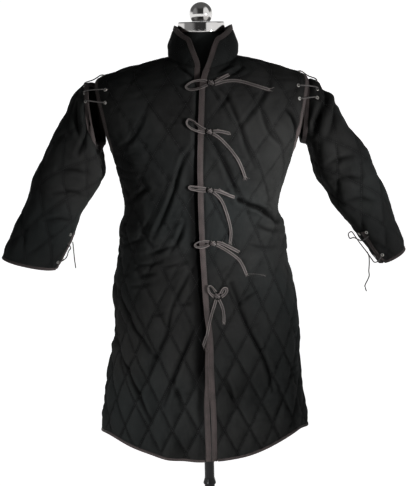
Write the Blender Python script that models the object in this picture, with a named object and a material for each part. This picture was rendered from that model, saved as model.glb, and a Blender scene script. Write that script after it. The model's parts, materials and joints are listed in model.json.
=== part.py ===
"""A padded gambeson worn by a limbless dress form on its stand.

Metres, +Z up, the front towards -Y, and the floor at z = 0. "Left" and "right" are the wearer's.
"""

import math
from collections import namedtuple

import bmesh
import bpy
from mathutils import Vector
from mathutils.bvhtree import BVHTree

# Driving sizes of the cloth
SEAM_GAP = 0.0003
PADDED_WALL = 0.0065
TAPE = 0.0012
TAPE_LIFT = 0.0005
SLEEVE_TAPE_LIFT = 0.0009
ARMHOLE_TAPE_LIFT = 0.0022
ARMHOLE_STEP = 0.0125
TAPE_END_GAP = 0.002
COLLAR_TAPE_TRIM = 0.003
EDGE_TAPE_WIDTH = 0.0125
ARMHOLE_TAPE_WIDTH = 0.0065
HEM_TAPE_WIDTH = 0.004
COLLAR_TAPE_WIDTH = 0.009
COLLAR_TAPE_LIFT = 0.0008
TIE_RADIUS = 0.0022
LACE_RADIUS = 0.0014
KNOT_RADII = (0.0062, 0.0042, 0.0055)
UNDER_DIP = 0.0095
EDGE_COLUMNS = (0.028, 0.014, 0.0)

# Driving sizes of the dress form and its stand
BASE_RADIUS = 0.190
BASE_THICKNESS = 0.010
HUB_TOP = 0.030
LOWER_POLE_RADIUS = 0.0125
COUPLING_BOTTOM = 0.3965
COUPLING_TOP = 0.4120
COUPLING_RADIUS = 0.0156
UPPER_POLE_RADIUS = 0.0120
FORM_BOTTOM = 0.800
NECK_X = 0.002
NECK_TOP = 1.4870
CAP_TOP = 1.5120
CAP_RADIUS = 0.0535
BALL_RADIUS = 0.0248
BALL_Z = 1.5305
FORM_SHOULDER_CLEARANCE = 0.0010

SMOOTH_ANGLE = math.radians(50)

# One row for each level of the body, hem to neckline. A level's height changes from its side to
# its front and back, and armhole is how far the armhole's edge stands from the side seam.
TorsoRow = namedtuple(
    "TorsoRow", "side_z front_z back_z centre_x half_width front_depth back_depth power armhole"
)
TORSO = [
    TorsoRow(0.549, 0.521, 0.543, -0.0110, 0.2500, 0.160, 0.156, 2.2, 0),
    TorsoRow(0.582, 0.558, 0.578, -0.0100, 0.2460, 0.159, 0.154, 2.2, 0),
    TorsoRow(0.628, 0.608, 0.626, -0.0090, 0.2400, 0.157, 0.151, 2.2, 0),
    TorsoRow(0.689, 0.673, 0.687, -0.0070, 0.2330, 0.154, 0.148, 2.2, 0),
    TorsoRow(0.749, 0.737, 0.748, -0.0045, 0.2260, 0.151, 0.146, 2.2, 0),
    TorsoRow(0.809, 0.800, 0.808, 0.0000, 0.2210, 0.147, 0.144, 2.2, 0),
    TorsoRow(0.868, 0.862, 0.867, -0.0040, 0.2185, 0.142, 0.141, 2.2, 0),
    TorsoRow(0.922, 0.918, 0.922, -0.0065, 0.2120, 0.137, 0.137, 2.2, 0),
    TorsoRow(0.955, 0.952, 0.955, -0.0060, 0.2025, 0.133, 0.133, 2.2, 0),
    TorsoRow(1.000, 0.998, 1.000, -0.0035, 0.1960, 0.128, 0.126, 2.2, 0),
    TorsoRow(1.042, 1.041, 1.042, -0.0030, 0.1925, 0.125, 0.121, 2.2, 0),
    TorsoRow(1.072, 1.072, 1.072, -0.0045, 0.1800, 0.122, 0.118, 2.2, 0),
    TorsoRow(1.105, 1.105, 1.105, -0.0020, 0.1805, 0.124, 0.118, 2.2, 0),
    TorsoRow(1.140, 1.140, 1.140, -0.0015, 0.1870, 0.128, 0.121, 2.2, 0),
    TorsoRow(1.180, 1.180, 1.180, -0.0005, 0.1970, 0.133, 0.127, 2.25, 0),
    TorsoRow(1.218, 1.218, 1.218, 0.0000, 0.2095, 0.136, 0.131, 2.3, 0),
    TorsoRow(1.227, 1.226, 1.227, 0.0000, 0.2140, 0.1362, 0.1315, 2.35, 0.036),
    TorsoRow(1.241, 1.239, 1.241, 0.0000, 0.2210, 0.1360, 0.1315, 2.4, 0.055),
    TorsoRow(1.266, 1.261, 1.268, 0.0000, 0.2330, 0.1345, 0.1300, 2.5, 0.066),
    TorsoRow(1.302, 1.292, 1.306, 0.0000, 0.2430, 0.1305, 0.1260, 2.6, 0.070),
    TorsoRow(1.338, 1.322, 1.345, 0.0000, 0.2480, 0.1250, 0.1200, 2.7, 0.066),
    TorsoRow(1.364, 1.343, 1.375, 0.0000, 0.2470, 0.1195, 0.1130, 2.7, 0.053),
    TorsoRow(1.381, 1.357, 1.394, 0.0000, 0.2430, 0.1150, 0.1060, 2.6, 0.030),
    TorsoRow(1.391, 1.366, 1.405, 0.0000, 0.2330, 0.1120, 0.1010, 2.5, 0),
    TorsoRow(1.403, 1.378, 1.415, 0.0000, 0.2020, 0.1075, 0.0940, 2.4, 0),
    TorsoRow(1.416, 1.390, 1.424, 0.0020, 0.1570, 0.1030, 0.0860, 2.3, 0),
    TorsoRow(1.4265, 1.401, 1.432, 0.0030, 0.1150, 0.0980, 0.0795, 2.2, 0),
    TorsoRow(1.4345, 1.412, 1.438, 0.0035, 0.0800, 0.0930, 0.0740, 2.1, 0),
]
HEM_RISE = 0.036
HEM_RISE_LEVELS = 4
ARMHOLE_BOTTOM = 15
SHOULDER_TIP = 23

# The outer front's edge, hem to neck, and how far the under front passes it and sinks beneath it.
ClosureRow = namedtuple("ClosureRow", "z edge_x under_reach sink")
CLOSURE = [
    ClosureRow(0.520, 0.0095, -0.0048, 0.0),
    ClosureRow(0.560, 0.0102, -0.0050, 0.0),
    ClosureRow(0.600, 0.0095, -0.0058, 0.0),
    ClosureRow(0.655, 0.0072, -0.0058, 1.0),
    ClosureRow(0.700, 0.0045, 0.0010, 1.0),
    ClosureRow(0.754, 0.0036, 0.0030, 1.0),
    ClosureRow(0.800, 0.0034, 0.0050, 1.0),
    ClosureRow(0.830, 0.0010, 0.0080, 1.0),
    ClosureRow(0.865, -0.0035, 0.0090, 1.0),
    ClosureRow(0.918, -0.0065, 0.0090, 1.0),
    ClosureRow(1.010, -0.0105, 0.0090, 1.0),
    ClosureRow(1.100, -0.0120, 0.0090, 1.0),
    ClosureRow(1.200, -0.0120, 0.0090, 1.0),
    ClosureRow(1.292, -0.0080, 0.0090, 1.0),
    ClosureRow(1.366, -0.0040, 0.0090, 1.0),
    ClosureRow(1.378, -0.0025, 0.0040, 1.0),
    ClosureRow(1.390, 0.0000, -0.0045, 1.0),
    ClosureRow(1.401, 0.0035, -0.0080, 0.8),
    ClosureRow(1.412, 0.0080, -0.0120, 0.0),
]

# Soft folds of the fronts and the back: a trough from one place to the other, as x and z.
Fold = namedtuple("Fold", "side x1 z1 x2 z2 depth half_width")
FOLDS = [
    Fold("front", 0.045, 1.128, 0.160, 1.082, 0.0055, 0.022),
    Fold("front", -0.150, 1.062, -0.050, 1.030, 0.0040, 0.018),
    Fold("front", -0.165, 0.990, -0.060, 0.965, 0.0035, 0.018),
    Fold("front", -0.030, 0.870, -0.085, 0.660, 0.0045, 0.024),
    Fold("front", 0.090, 0.880, 0.165, 0.640, 0.0050, 0.024),
    Fold("back", -0.120, 1.085, 0.110, 1.060, 0.0045, 0.022),
    Fold("back", 0.070, 0.930, 0.110, 0.640, 0.0045, 0.026),
    Fold("back", -0.060, 0.940, -0.120, 0.660, 0.0045, 0.026),
]

# The collar, neckline to rim, with the places of its two front edges.
CollarRow = namedtuple(
    "CollarRow",
    "side_z front_z back_z centre_x half_width front_depth back_depth left_edge_x right_edge_x wall",
)
COLLAR = [
    CollarRow(1.4352, 1.4130, 1.4386, 0.0035, 0.0792, 0.0924, 0.0732, 0.0100, -0.0075, 0.0065),
    CollarRow(1.4480, 1.4260, 1.4500, 0.0036, 0.0786, 0.0905, 0.0705, 0.0155, -0.0090, 0.0065),
    CollarRow(1.4640, 1.4400, 1.4640, 0.0042, 0.0775, 0.0875, 0.0670, 0.0205, -0.0135, 0.0065),
    CollarRow(1.4850, 1.4560, 1.4770, 0.0050, 0.0720, 0.0835, 0.0640, 0.0265, -0.0195, 0.0060),
    CollarRow(1.5035, 1.4700, 1.4880, 0.0060, 0.0655, 0.0780, 0.0610, 0.0335, -0.0245, 0.0045),
]
COLLAR_COLUMNS = 26
FRONT_COLUMNS = 11
BACK_COLUMNS = 18

# Each sleeve, from its laced head to its cuff: the outer and the inner edge of each section.
SleeveRow = namedtuple("SleeveRow", "outer_x outer_z inner_x inner_z half_depth centre_y")
SLEEVE_LEFT = [
    SleeveRow(0.2530, 1.3790, 0.2385, 1.2330, 0.068, 0.000),
    SleeveRow(0.2760, 1.3620, 0.2440, 1.2200, 0.069, 0.000),
    SleeveRow(0.2960, 1.3410, 0.2480, 1.2020, 0.069, 0.000),
    SleeveRow(0.3180, 1.3050, 0.2510, 1.1820, 0.068, -0.001),
    SleeveRow(0.3420, 1.2680, 0.2570, 1.1580, 0.067, -0.002),
    SleeveRow(0.3760, 1.2090, 0.2760, 1.1280, 0.065, -0.004),
    SleeveRow(0.4110, 1.1400, 0.3130, 1.0710, 0.062, -0.008),
    SleeveRow(0.4440, 1.0560, 0.3620, 1.0110, 0.058, -0.012),
    SleeveRow(0.4670, 0.9860, 0.4050, 0.9520, 0.052, -0.016),
]
SLEEVE_RIGHT = [
    SleeveRow(-0.2590, 1.3800, -0.2400, 1.2360, 0.068, 0.000),
    SleeveRow(-0.2760, 1.3670, -0.2370, 1.2180, 0.069, 0.000),
    SleeveRow(-0.2920, 1.3480, -0.2350, 1.1980, 0.069, 0.000),
    SleeveRow(-0.3120, 1.3120, -0.2370, 1.1780, 0.068, -0.001),
    SleeveRow(-0.3380, 1.2710, -0.2440, 1.1560, 0.067, -0.002),
    SleeveRow(-0.3720, 1.2060, -0.2615, 1.1210, 0.065, -0.004),
    SleeveRow(-0.4070, 1.1320, -0.2810, 1.0790, 0.062, -0.008),
    SleeveRow(-0.4400, 1.0580, -0.3060, 1.0220, 0.058, -0.012),
    SleeveRow(-0.4745, 0.9830, -0.3465, 0.9520, 0.053, -0.016),
]
SLEEVE_COLUMNS = 20
SLIT_ANGLE_LEFT = math.radians(138)
SLIT_ANGLE_RIGHT = math.radians(168)

# The left cuff's lace outside the sleeve: its bow and tight strand, then the hanging end.
LEFT_CUFF_BOW = [
    (0.3440, -0.0500, 1.0170), (0.3355, -0.0440, 1.0145), (0.3325, -0.0390, 1.0240),
    (0.3400, -0.0380, 1.0290), (0.3470, -0.0400, 1.0200), (0.3550, -0.0440, 1.0080),
    (0.3660, -0.0450, 0.9930), (0.3755, -0.0460, 0.9805), (0.3850, -0.0490, 0.9665),
    (0.3910, -0.0530, 0.9590),
]
LEFT_CUFF_TAIL = [
    (0.3750, -0.0486, 0.9825), (0.3790, -0.0500, 0.9720), (0.3800, -0.0500, 0.9575),
    (0.3795, -0.0480, 0.9370), (0.3803, -0.0470, 0.9240), (0.3720, -0.0460, 0.9045),
    (0.3712, -0.0460, 0.8995), (0.3745, -0.0460, 0.8890),
]
RIGHT_CUFF_DROPS = [
    (0, 0, 0), (0.001, -0.004, -0.008), (0.002, -0.006, -0.022), (0.003, -0.006, -0.041),
    (0.005, -0.006, -0.061),
]
SLIT_TOP_LEVEL = 6.75
SLIT_MOUTH = 0.0080
SLIT_TOP_WIDTH = 0.0030

# The dress form below the neck, as the depth that it lies under the cloth's outer face.
FormRow = namedtuple("FormRow", "level inset")
FORM_ROWS = [
    FormRow(5.4, 0.034),
    FormRow(6.5, 0.027),
    FormRow(8.0, 0.022),
    FormRow(10.0, 0.021),
    FormRow(11.5, 0.020),
    FormRow(13.0, 0.021),
    FormRow(15.0, 0.024),
    FormRow(17.0, 0.025),
    FormRow(19.0, 0.024),
    FormRow(20.0, 0.022),
    FormRow(21.0, 0.0205),
    FormRow(22.0, 0.0175),
]
NECK_PROFILE = [
    (0.0580, 1.4300), (0.0500, 1.4420), (0.0475, 1.4600), (0.0470, 1.4850), (0.0455, NECK_TOP),
]
FORM_COLUMNS = 28
FORM_SHOULDER_HALF_WIDTH = 0.205

# The ties: the knot's place on the front, then each strand as x, z and height over the cloth.
KNOTS = {
    "tie_1": (0.0205, 1.3800),
    "tie_2": (0.0145, 1.2760),
    "tie_3": (0.0135, 1.1470),
    "tie_4": (0.0180, 1.0265),
    "tie_5": (0.0257, 0.9080),
}
KNOT_LIFT = 0.0048
MM = 0.001
TIE_STRANDS = {
    "tie_1_loop_left": [
        (12, 1383, 4.8), (0, 1386, 4.8), (-18, 1384, 4.4), (-31, 1377, 3.6), (-34, 1371, 3.6),
        (-26, 1366, 3.6), (-12, 1367, 4.4), (2, 1371, 4.8), (12.5, 1376, 4.8),
    ],
    "tie_1_loop_right": [
        (29.5, 1381.5, 8), (40, 1387, 9.2), (52, 1393, 9), (60, 1396, 6), (55, 1394.5, 3.3),
        (44, 1390.5, 3), (34, 1387.5, 3),
    ],
    "tie_1_tail": [
        (29.5, 1376.5, 3.2), (38, 1379, 3), (52, 1382.5, 3), (70, 1383.5, 3),
        (88, 1381, 3), (112, 1374, 3), (136, 1366, 3), (145, 1363, 3),
    ],
    "tie_2_loop_left": [
        (6.5, 1280, 4.8), (-6, 1288, 4.8), (-20, 1299, 4.4), (-29, 1303.5, 3.6), (-34, 1299, 3.2),
        (-32, 1290, 3.2), (-20, 1281, 4.4), (-6, 1276, 4.8), (5.5, 1274, 4.8),
    ],
    "tie_2_loop_right": [
        (23.5, 1277, 8), (34, 1277, 9.2), (48, 1274.5, 9), (59, 1271, 6), (55, 1271.5, 3.3),
        (43, 1275, 2.7), (31, 1278.5, 2.7),
    ],
    "tie_2_tail": [
        (22.5, 1271, 3.3), (30, 1267, 3), (41, 1258, 3), (53, 1245, 3), (66, 1229, 3),
        (77, 1212, 3), (85, 1194, 3), (91, 1176, 3),
    ],
    "tie_3_loop_left": [
        (5, 1150.5, 4.8), (-8, 1153.5, 5), (-22, 1156, 4.6), (-31, 1156, 3.5), (-30, 1150.5, 3.3),
        (-18, 1147.5, 4.6), (-6, 1145.5, 4.8), (4.5, 1145, 4.8),
    ],
    "tie_3_loop_right": [
        (22.5, 1147, 8), (34, 1144, 9.2), (52, 1136, 9), (67, 1129.5, 6), (62, 1131, 3.3),
        (48, 1138, 3), (32, 1147.5, 3),
    ],
    "tie_3_tail": [
        (21, 1141.5, 3.3), (30, 1134, 3), (39, 1122, 3), (46, 1106, 3), (52, 1086, 3),
        (57, 1065, 3), (59, 1048, 3), (57, 1029, 3),
    ],
    "tie_4_loop_left": [
        (9.5, 1030, 4.8), (-2, 1032, 5), (-14, 1030, 4.6), (-22, 1024.5, 3.5), (-20, 1019.5, 3.3),
        (-10, 1018, 4.6), (0, 1019.5, 4.8), (9.5, 1023.5, 4.8),
    ],
    "tie_4_loop_right": [
        (27, 1028.5, 8), (38, 1026, 9.2), (58, 1016, 9), (76, 1004, 6), (71, 1006.5, 3.3),
        (54, 1016.5, 3), (37, 1027.5, 3),
    ],
    "tie_4_tail": [
        (26.5, 1022, 3.3), (38, 1016, 3), (52, 1007, 3), (66, 996, 3), (77, 985, 3),
        (85, 971, 3), (92, 953, 3),
    ],
    "tie_5_loop_left": [
        (22.5, 917, 4.8), (18, 924, 5), (12.5, 930.5, 4.9), (7, 931, 4.8), (5.5, 925, 4.6),
        (8, 917, 4.4), (12.5, 911, 4.6), (17.5, 907.5, 4.8),
    ],
    "tie_5_loop_right": [
        (33.5, 911.5, 4.4), (36, 918, 4.3), (40.5, 923.5, 3.8), (46.5, 923, 2.9), (46.5, 916.5, 2.6),
        (41.5, 910, 2.6), (35, 905.5, 3.2),
    ],
    "tie_5_tail": [
        (22.5, 899, 3.3), (18.5, 886, 3.1), (12.5, 868, 3.5), (7, 848, 4.4), (3, 830, 4.4),
        (-1, 814, 4.4), (-8, 793, 4),
    ],
    "tie_5_tail_short": [
        (29.5, 899, 2.9), (34, 889, 2.6), (38, 876, 2.6), (39.5, 862, 2.6), (39.5, 848, 2.6),
    ],
}


def material(name, color, roughness, metallic=0.0):
    made = bpy.data.materials.new(name)
    made.use_nodes = True
    shader = made.node_tree.nodes["Principled BSDF"]
    shader.inputs["Base Color"].default_value = (*color, 1.0)
    shader.inputs["Roughness"].default_value = roughness
    shader.inputs["Metallic"].default_value = metallic
    made.diffuse_color = (*color, 1.0)
    return made


def clear_scene():
    for old in list(bpy.data.objects):
        bpy.data.objects.remove(old, do_unlink=True)


def add_mesh(name, points, faces, finish):
    """A closed mesh object with its faces pointing out."""
    mesh = bpy.data.meshes.new(name)
    mesh.from_pydata([tuple(point) for point in points], [], faces)
    work = bmesh.new()
    work.from_mesh(mesh)
    bmesh.ops.recalc_face_normals(work, faces=work.faces)
    work.to_mesh(mesh)
    work.free()
    mesh.shade_smooth()
    mesh.set_sharp_from_angle(angle=SMOOTH_ANGLE)
    mesh.materials.append(finish)
    made = bpy.data.objects.new(name, mesh)
    bpy.context.scene.collection.objects.link(made)
    return made


def blend_rows(rows, level):
    """The row at a level that may lie between two rows of a table."""
    low = min(max(int(math.floor(level)), 0), len(rows) - 2)
    share = level - low
    return type(rows[0])(*(a + (b - a) * share for a, b in zip(rows[low], rows[low + 1])))


def closure_at(z):
    """The closure's row at a height."""
    for low, high in zip(CLOSURE, CLOSURE[1:]):
        if z <= high.z:
            break
    share = min(max((z - low.z) / (high.z - low.z), 0), 1)
    return ClosureRow(*(a + (b - a) * share for a, b in zip(low, high)))


def ring_point(row, angle):
    """A place on a level's rounded outline: 0 is the wearer's left side and 90 degrees the front."""
    across, along = math.cos(angle), math.sin(angle)
    reach = (abs(across) ** row.power + abs(along) ** row.power) ** (-1 / row.power)
    depth, end_z = (row.front_depth, row.front_z) if along > 0 else (row.back_depth, row.back_z)
    x = row.centre_x + row.half_width * reach * across
    z = row.side_z + (end_z - row.side_z) * along**2
    return Vector((x, -depth * reach * along, z))


def torso_base(level, angle):
    """A place on the body without its folds: between front and side the hem rises a little."""
    point = ring_point(blend_rows(TORSO, level), angle)
    lower = max(1 - level / HEM_RISE_LEVELS, 0) ** 2
    point.z += HEM_RISE * lower * (math.sin(2 * angle) * math.cos(angle)) ** 2
    return point


def collar_surface(level, angle):
    row = blend_rows(COLLAR, level)
    ring = TorsoRow(*row[:7], power=2.1, armhole=0)
    return ring_point(ring, angle)


def sleeve_surface(rows):
    def point(level, angle):
        row = blend_rows(rows, level)
        power = 2.2
        across, along = math.cos(angle), math.sin(angle)
        reach = (abs(across) ** power + abs(along) ** power) ** (-1 / power)
        outer = Vector((row.outer_x, row.centre_y, row.outer_z))
        inner = Vector((row.inner_x, row.centre_y, row.inner_z))
        middle = (outer + inner) / 2
        return middle + ((outer - middle) * across - Vector((0, row.half_depth, 0)) * along) * reach

    return point


def normal_of(surface, level, angle, last_level, sign=1):
    """The outward direction of a surface, from its slopes."""
    low, high = max(level - 0.5, 0), min(level + 0.5, last_level)
    step = 0.03
    rise = surface(high, angle) - surface(low, angle)
    turn = surface(level, angle + step) - surface(level, angle - step)
    return rise.cross(turn).normalized() * sign


def fold_depth(point):
    """How far the folds push the cloth in at this place."""
    side = "front" if point.y < 0 else "back"
    place = Vector((point.x, point.z))
    total = 0
    for fold in FOLDS:
        if fold.side != side:
            continue
        start, end = Vector((fold.x1, fold.z1)), Vector((fold.x2, fold.z2))
        run = end - start
        share = min(max((place - start).dot(run) / run.length_squared, 0), 1)
        away = (place - start - run * share).length / fold.half_width
        fade = math.sin(math.pi * (0.12 + 0.76 * share))
        total += fold.depth * fade * math.exp(-away * away)
    return total


def torso_surface(level, angle):
    """The body's outer face, with its folds."""
    point = torso_base(level, angle)
    depth = fold_depth(point)
    if depth < 1e-5:
        return point
    return point - normal_of(torso_base, level, angle, len(TORSO) - 1) * depth


def torso_normal(level, angle):
    return normal_of(torso_surface, level, angle, len(TORSO) - 1)


def torso_step(level, angle, step):
    """The place and normal on the body after a short walk along its surface."""
    small, walks = 0.02, 6
    for _ in range(walks):
        start = torso_surface(level, angle)
        rise = (torso_surface(level + small, angle) - start) / small
        if step.dot(rise) < 0:
            rise = (start - torso_surface(level - small, angle)) / small
        turn = (torso_surface(level, angle + small) - start) / small
        a, b, c = rise.dot(rise), rise.dot(turn), turn.dot(turn)
        d, e = step.dot(rise) / walks, step.dot(turn) / walks
        scale = a * c - b * b
        level += (d * c - e * b) / scale
        angle += (e * a - d * b) / scale
    return torso_surface(level, angle), torso_normal(level, angle)


def angle_at_x(level, x):
    """The angle on the front where the body's outline has this x."""
    low, high = 0.0, math.pi
    for _ in range(30):
        middle = (low + high) / 2
        if torso_base(level, middle).x > x:
            low = middle
        else:
            high = middle
    return (low + high) / 2


def edge_angle(level, front):
    """The angle from the side seam to the panel's edge, at the armhole or half a seam gap away."""
    row = blend_rows(TORSO, level)
    opening = max(row.armhole, SEAM_GAP / 2)
    low, high = 0.0, math.pi / 2
    for _ in range(30):
        middle = (low + high) / 2
        if abs(torso_base(level, middle if front else -middle).y) < opening:
            low = middle
        else:
            high = middle
    return (low + high) / 2


def wall(name, outer, thickness, finish, closed=False):
    """A wall between a grid of (point, normal) pairs and its offset inwards, row by row."""
    rows, columns = len(outer), len(outer[0])
    points = [point for line in outer for point, _ in line]
    for line, depth in zip(outer, thickness):
        points += [point - normal * depth for point, normal in line]
    count = rows * columns
    faces = []
    spans = columns if closed else columns - 1
    for row in range(rows - 1):
        for column in range(spans):
            a, b = row * columns + column, row * columns + (column + 1) % columns
            c, d = a + columns, b + columns
            faces += [(a, b, d), (a, d, c), (a + count, c + count, d + count, b + count)]
    for row in (0, rows - 1):
        for column in range(spans):
            a, b = row * columns + column, row * columns + (column + 1) % columns
            faces.append((a, b, b + count, a + count))
    if not closed:
        for column in (0, columns - 1):
            for row in range(rows - 1):
                a = row * columns + column
                c = a + columns
                faces.append((a, c, c + count, a + count))
    return add_mesh(name, points, faces, finish)


def outer_facets(grid):
    """The flat facets of a wall's outer face, to lay something on."""
    columns = len(grid[0])
    points = [point for line in grid for point, _ in line]
    facets = []
    for row in range(len(grid) - 1):
        for column in range(columns - 1):
            a = row * columns + column
            b, c, d = a + 1, a + columns, a + columns + 1
            facets += [(a, b, d), (a, d, c)]
    return BVHTree.FromPolygons(points, facets, all_triangles=True)


def edge_tape(name, stations, width, thickness, finish, closed=False, lift=TAPE_LIFT):
    """A tape that lies on the outer face along an edge and turns over it.

    Each station is the edge's point and normal, and the next point and normal into the cloth.
    """
    count = len(stations)
    points = []
    for index, (point, normal, inner, inner_normal) in enumerate(stations):
        before = stations[index - 1 if closed else max(index - 1, 0)][0]
        after = stations[(index + 1) % count if closed else min(index + 1, count - 1)][0]
        along = (after - before).normalized()
        share = width / (inner - point).length
        far = point.lerp(inner, share)
        far_normal = normal.lerp(inner_normal, share).normalized()
        off = normal.cross(along).normalized()
        if off.dot(point - inner) < 0:
            off = -off
        top = lift + TAPE
        points += [
            far + far_normal * lift,
            far + far_normal * top,
            point + off * top + normal * top,
            point + off * top - normal * thickness,
            point + off * lift - normal * thickness,
            point + off * lift + normal * lift,
        ]
    size = 6
    faces = []
    for station in range(count if closed else count - 1):
        here, there = station * size, (station + 1) % count * size
        for corner in range(size):
            next_corner = (corner + 1) % size
            # A quad is split from its first corner, here in the same way as the wall's rim.
            faces.append((here + next_corner, there + next_corner, there + corner, here + corner))
    if not closed:
        faces += [tuple(range(size)), tuple(range((count - 1) * size, count * size))]
    return add_mesh(name, points, faces, finish)


def trimmed(stations, length):
    """The same stations with both ends drawn in, so that two tapes meet with a gap."""
    drawn = list(stations)
    for end, neighbour in ((0, 1), (-1, -2)):
        share = length / (stations[end][0] - stations[neighbour][0]).length
        drawn[end] = tuple(a.lerp(b, share) for a, b in zip(stations[end], stations[neighbour]))
    return drawn


def lathe(name, profile, sides, finish, centre_x=0.0):
    """A turned solid from (radius, z) pairs, bottom to top, that starts and ends on the axis."""
    ring_rows = [pair for pair in profile if pair[0] > 0]
    points = [Vector((centre_x, 0, profile[0][1]))]
    for radius, z in ring_rows:
        for side in range(sides):
            angle = math.tau * side / sides
            points.append(Vector((centre_x + radius * math.cos(angle), radius * math.sin(angle), z)))
    points.append(Vector((centre_x, 0, profile[-1][1])))
    last = len(points) - 1
    faces = []
    for side in range(sides):
        after = (side + 1) % sides
        faces.append((0, 1 + after, 1 + side))
        for row in range(len(ring_rows) - 1):
            low, high = 1 + row * sides, 1 + (row + 1) * sides
            faces.append((low + side, low + after, high + after, high + side))
        top = 1 + (len(ring_rows) - 1) * sides
        faces.append((top + side, top + after, last))
    return add_mesh(name, points, faces, finish)


def smooth_route(points, spacing):
    """Places at even steps along the smooth curve through the given points."""
    ends = [points[0] * 2 - points[1], *points, points[-1] * 2 - points[-2]]
    fine = []
    for a, b, c, d in zip(ends, ends[1:], ends[2:], ends[3:]):
        for step in range(16):
            t = step / 16
            bend = 2 * a - 5 * b + 4 * c - d
            twist = 3 * b - a - 3 * c + d
            fine.append((2 * b + (c - a) * t + bend * t**2 + twist * t**3) / 2)
    fine.append(points[-1])
    lengths = [0.0]
    for before, after in zip(fine, fine[1:]):
        lengths.append(lengths[-1] + (after - before).length)
    count = max(round(lengths[-1] / spacing), 4)
    found, place = [], 0
    for index in range(count + 1):
        target = lengths[-1] * index / count
        while place < len(fine) - 2 and lengths[place + 1] < target:
            place += 1
        share = (target - lengths[place]) / (lengths[place + 1] - lengths[place])
        found.append(fine[place].lerp(fine[place + 1], min(max(share, 0), 1)))
    return found


def cord(name, route, radius, finish):
    """A tube along a smooth route, with filled ends."""
    places = smooth_route(route, radius * 5)
    curve = bpy.data.curves.new(name, "CURVE")
    curve.dimensions = "3D"
    curve.bevel_depth = radius
    curve.bevel_resolution = 2
    curve.use_fill_caps = True
    spline = curve.splines.new("POLY")
    spline.points.add(len(places) - 1)
    for target, place in zip(spline.points, places):
        target.co = (*place, 1)
    curve.materials.append(finish)
    made = bpy.data.objects.new(name, curve)
    bpy.context.scene.collection.objects.link(made)
    return made


def front_place(x, z, lift):
    """The place over the front at this x and z, and the outward direction there."""
    low, high = 0.0, len(TORSO) - 1.0
    for _ in range(30):
        level = (low + high) / 2
        if torso_base(level, angle_at_x(level, x)).z < z:
            low = level
        else:
            high = level
    angle = angle_at_x(level, x)
    normal = torso_normal(level, angle)
    return torso_surface(level, angle) + normal * lift


def front_grid(outer_front):
    """The wearer's left front lies on top; the right one passes under its edge."""
    even = FRONT_COLUMNS - len(EDGE_COLUMNS)
    grid = []
    for level in range(len(TORSO)):
        closure = closure_at(TORSO[level].front_z)
        if outer_front:
            start, edge_x, into_cloth = edge_angle(level, True), closure.edge_x, 1
        else:
            start, into_cloth = math.pi - edge_angle(level, True), -1
            edge_x = closure.edge_x + closure.under_reach
        ends = [angle_at_x(level, edge_x + into_cloth * away) for away in EDGE_COLUMNS]
        angles = [start + (ends[0] - start) * column / even for column in range(even)] + ends
        line = []
        for column, angle in enumerate(angles):
            point, normal = torso_surface(level, angle), torso_normal(level, angle)
            if not outer_front and column > even:
                point = point - normal * (UNDER_DIP * closure.sink)
            line.append((point, normal))
        grid.append(line)
    return grid


def back_grid():
    grid = []
    for level in range(len(TORSO)):
        reach = math.pi - 2 * edge_angle(level, False)
        start = -edge_angle(level, False)
        line = []
        for column in range(BACK_COLUMNS + 1):
            angle = start - reach * column / BACK_COLUMNS
            line.append((torso_surface(level, angle), torso_normal(level, angle)))
        grid.append(line)
    return grid


def build_body(cloth, tape):
    grids = {
        "front_left": front_grid(True),
        "front_right": front_grid(False),
        "back": back_grid(),
    }
    for name, grid in grids.items():
        wall(name, grid, [PADDED_WALL] * len(grid), cloth)
        hem = [(*edge, *above) for edge, above in zip(grid[0], grid[1])]
        # The edge tape covers the last stretch of a front's hem.
        hem = trimmed(hem if name == "back" else hem[:-1], TAPE_END_GAP)
        edge_tape(f"hem_binding_{name}", hem, HEM_TAPE_WIDTH, PADDED_WALL, tape)
    for side in ("left", "right"):
        stations = [(*line[-1], *line[-2]) for line in grids[f"front_{side}"]]
        edge_tape(f"front_binding_{side}", stations, EDGE_TAPE_WIDTH, PADDED_WALL, tape)
    return list(grids.values())


def build_armhole(side, facets, tape):
    """The armhole's tape, up the front edge, over the shoulder's tip and down the back edge."""
    low, high = ARMHOLE_BOTTOM, SHOULDER_TIP
    path = [(low, 0.0)]
    path += [(row, edge_angle(row, True)) for row in range(low + 1, high)]
    path.append((high, 0.0))
    path += [(row, -edge_angle(row, False)) for row in range(high - 1, low, -1)]
    if side == "right":
        path = [(level, math.pi - angle) for level, angle in path]
    middle = sum((torso_surface(*place) for place in path), Vector()) / len(path)
    loop = []
    for index, (level, angle) in enumerate(path):
        point, normal = torso_surface(level, angle), torso_normal(level, angle)
        before, after = path[index - 1], path[(index + 1) % len(path)]
        along = torso_surface(*after) - torso_surface(*before)
        into_cloth = normal.cross(along).normalized()
        if into_cloth.dot(point - middle) < 0:
            into_cloth = -into_cloth
        inner, inner_normal = torso_step(level, angle, into_cloth * ARMHOLE_TAPE_WIDTH)
        loop.append((point, normal, inner, inner_normal))
    stations = []
    for here, there in zip(loop, loop[1:] + loop[:1]):
        stations.append(here)
        parts = math.ceil((there[0] - here[0]).length / ARMHOLE_STEP)
        for part in range(1, parts):
            point, normal, inner, inner_normal = (a.lerp(b, part / parts) for a, b in zip(here, there))
            inner = min((tree.find_nearest(inner) for tree in facets), key=lambda found: found[3])[0]
            stations.append((point, normal, inner, inner_normal))
    name = f"armhole_binding_{side}"
    edge_tape(name, stations, ARMHOLE_TAPE_WIDTH, PADDED_WALL, tape, True, ARMHOLE_TAPE_LIFT)


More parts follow.
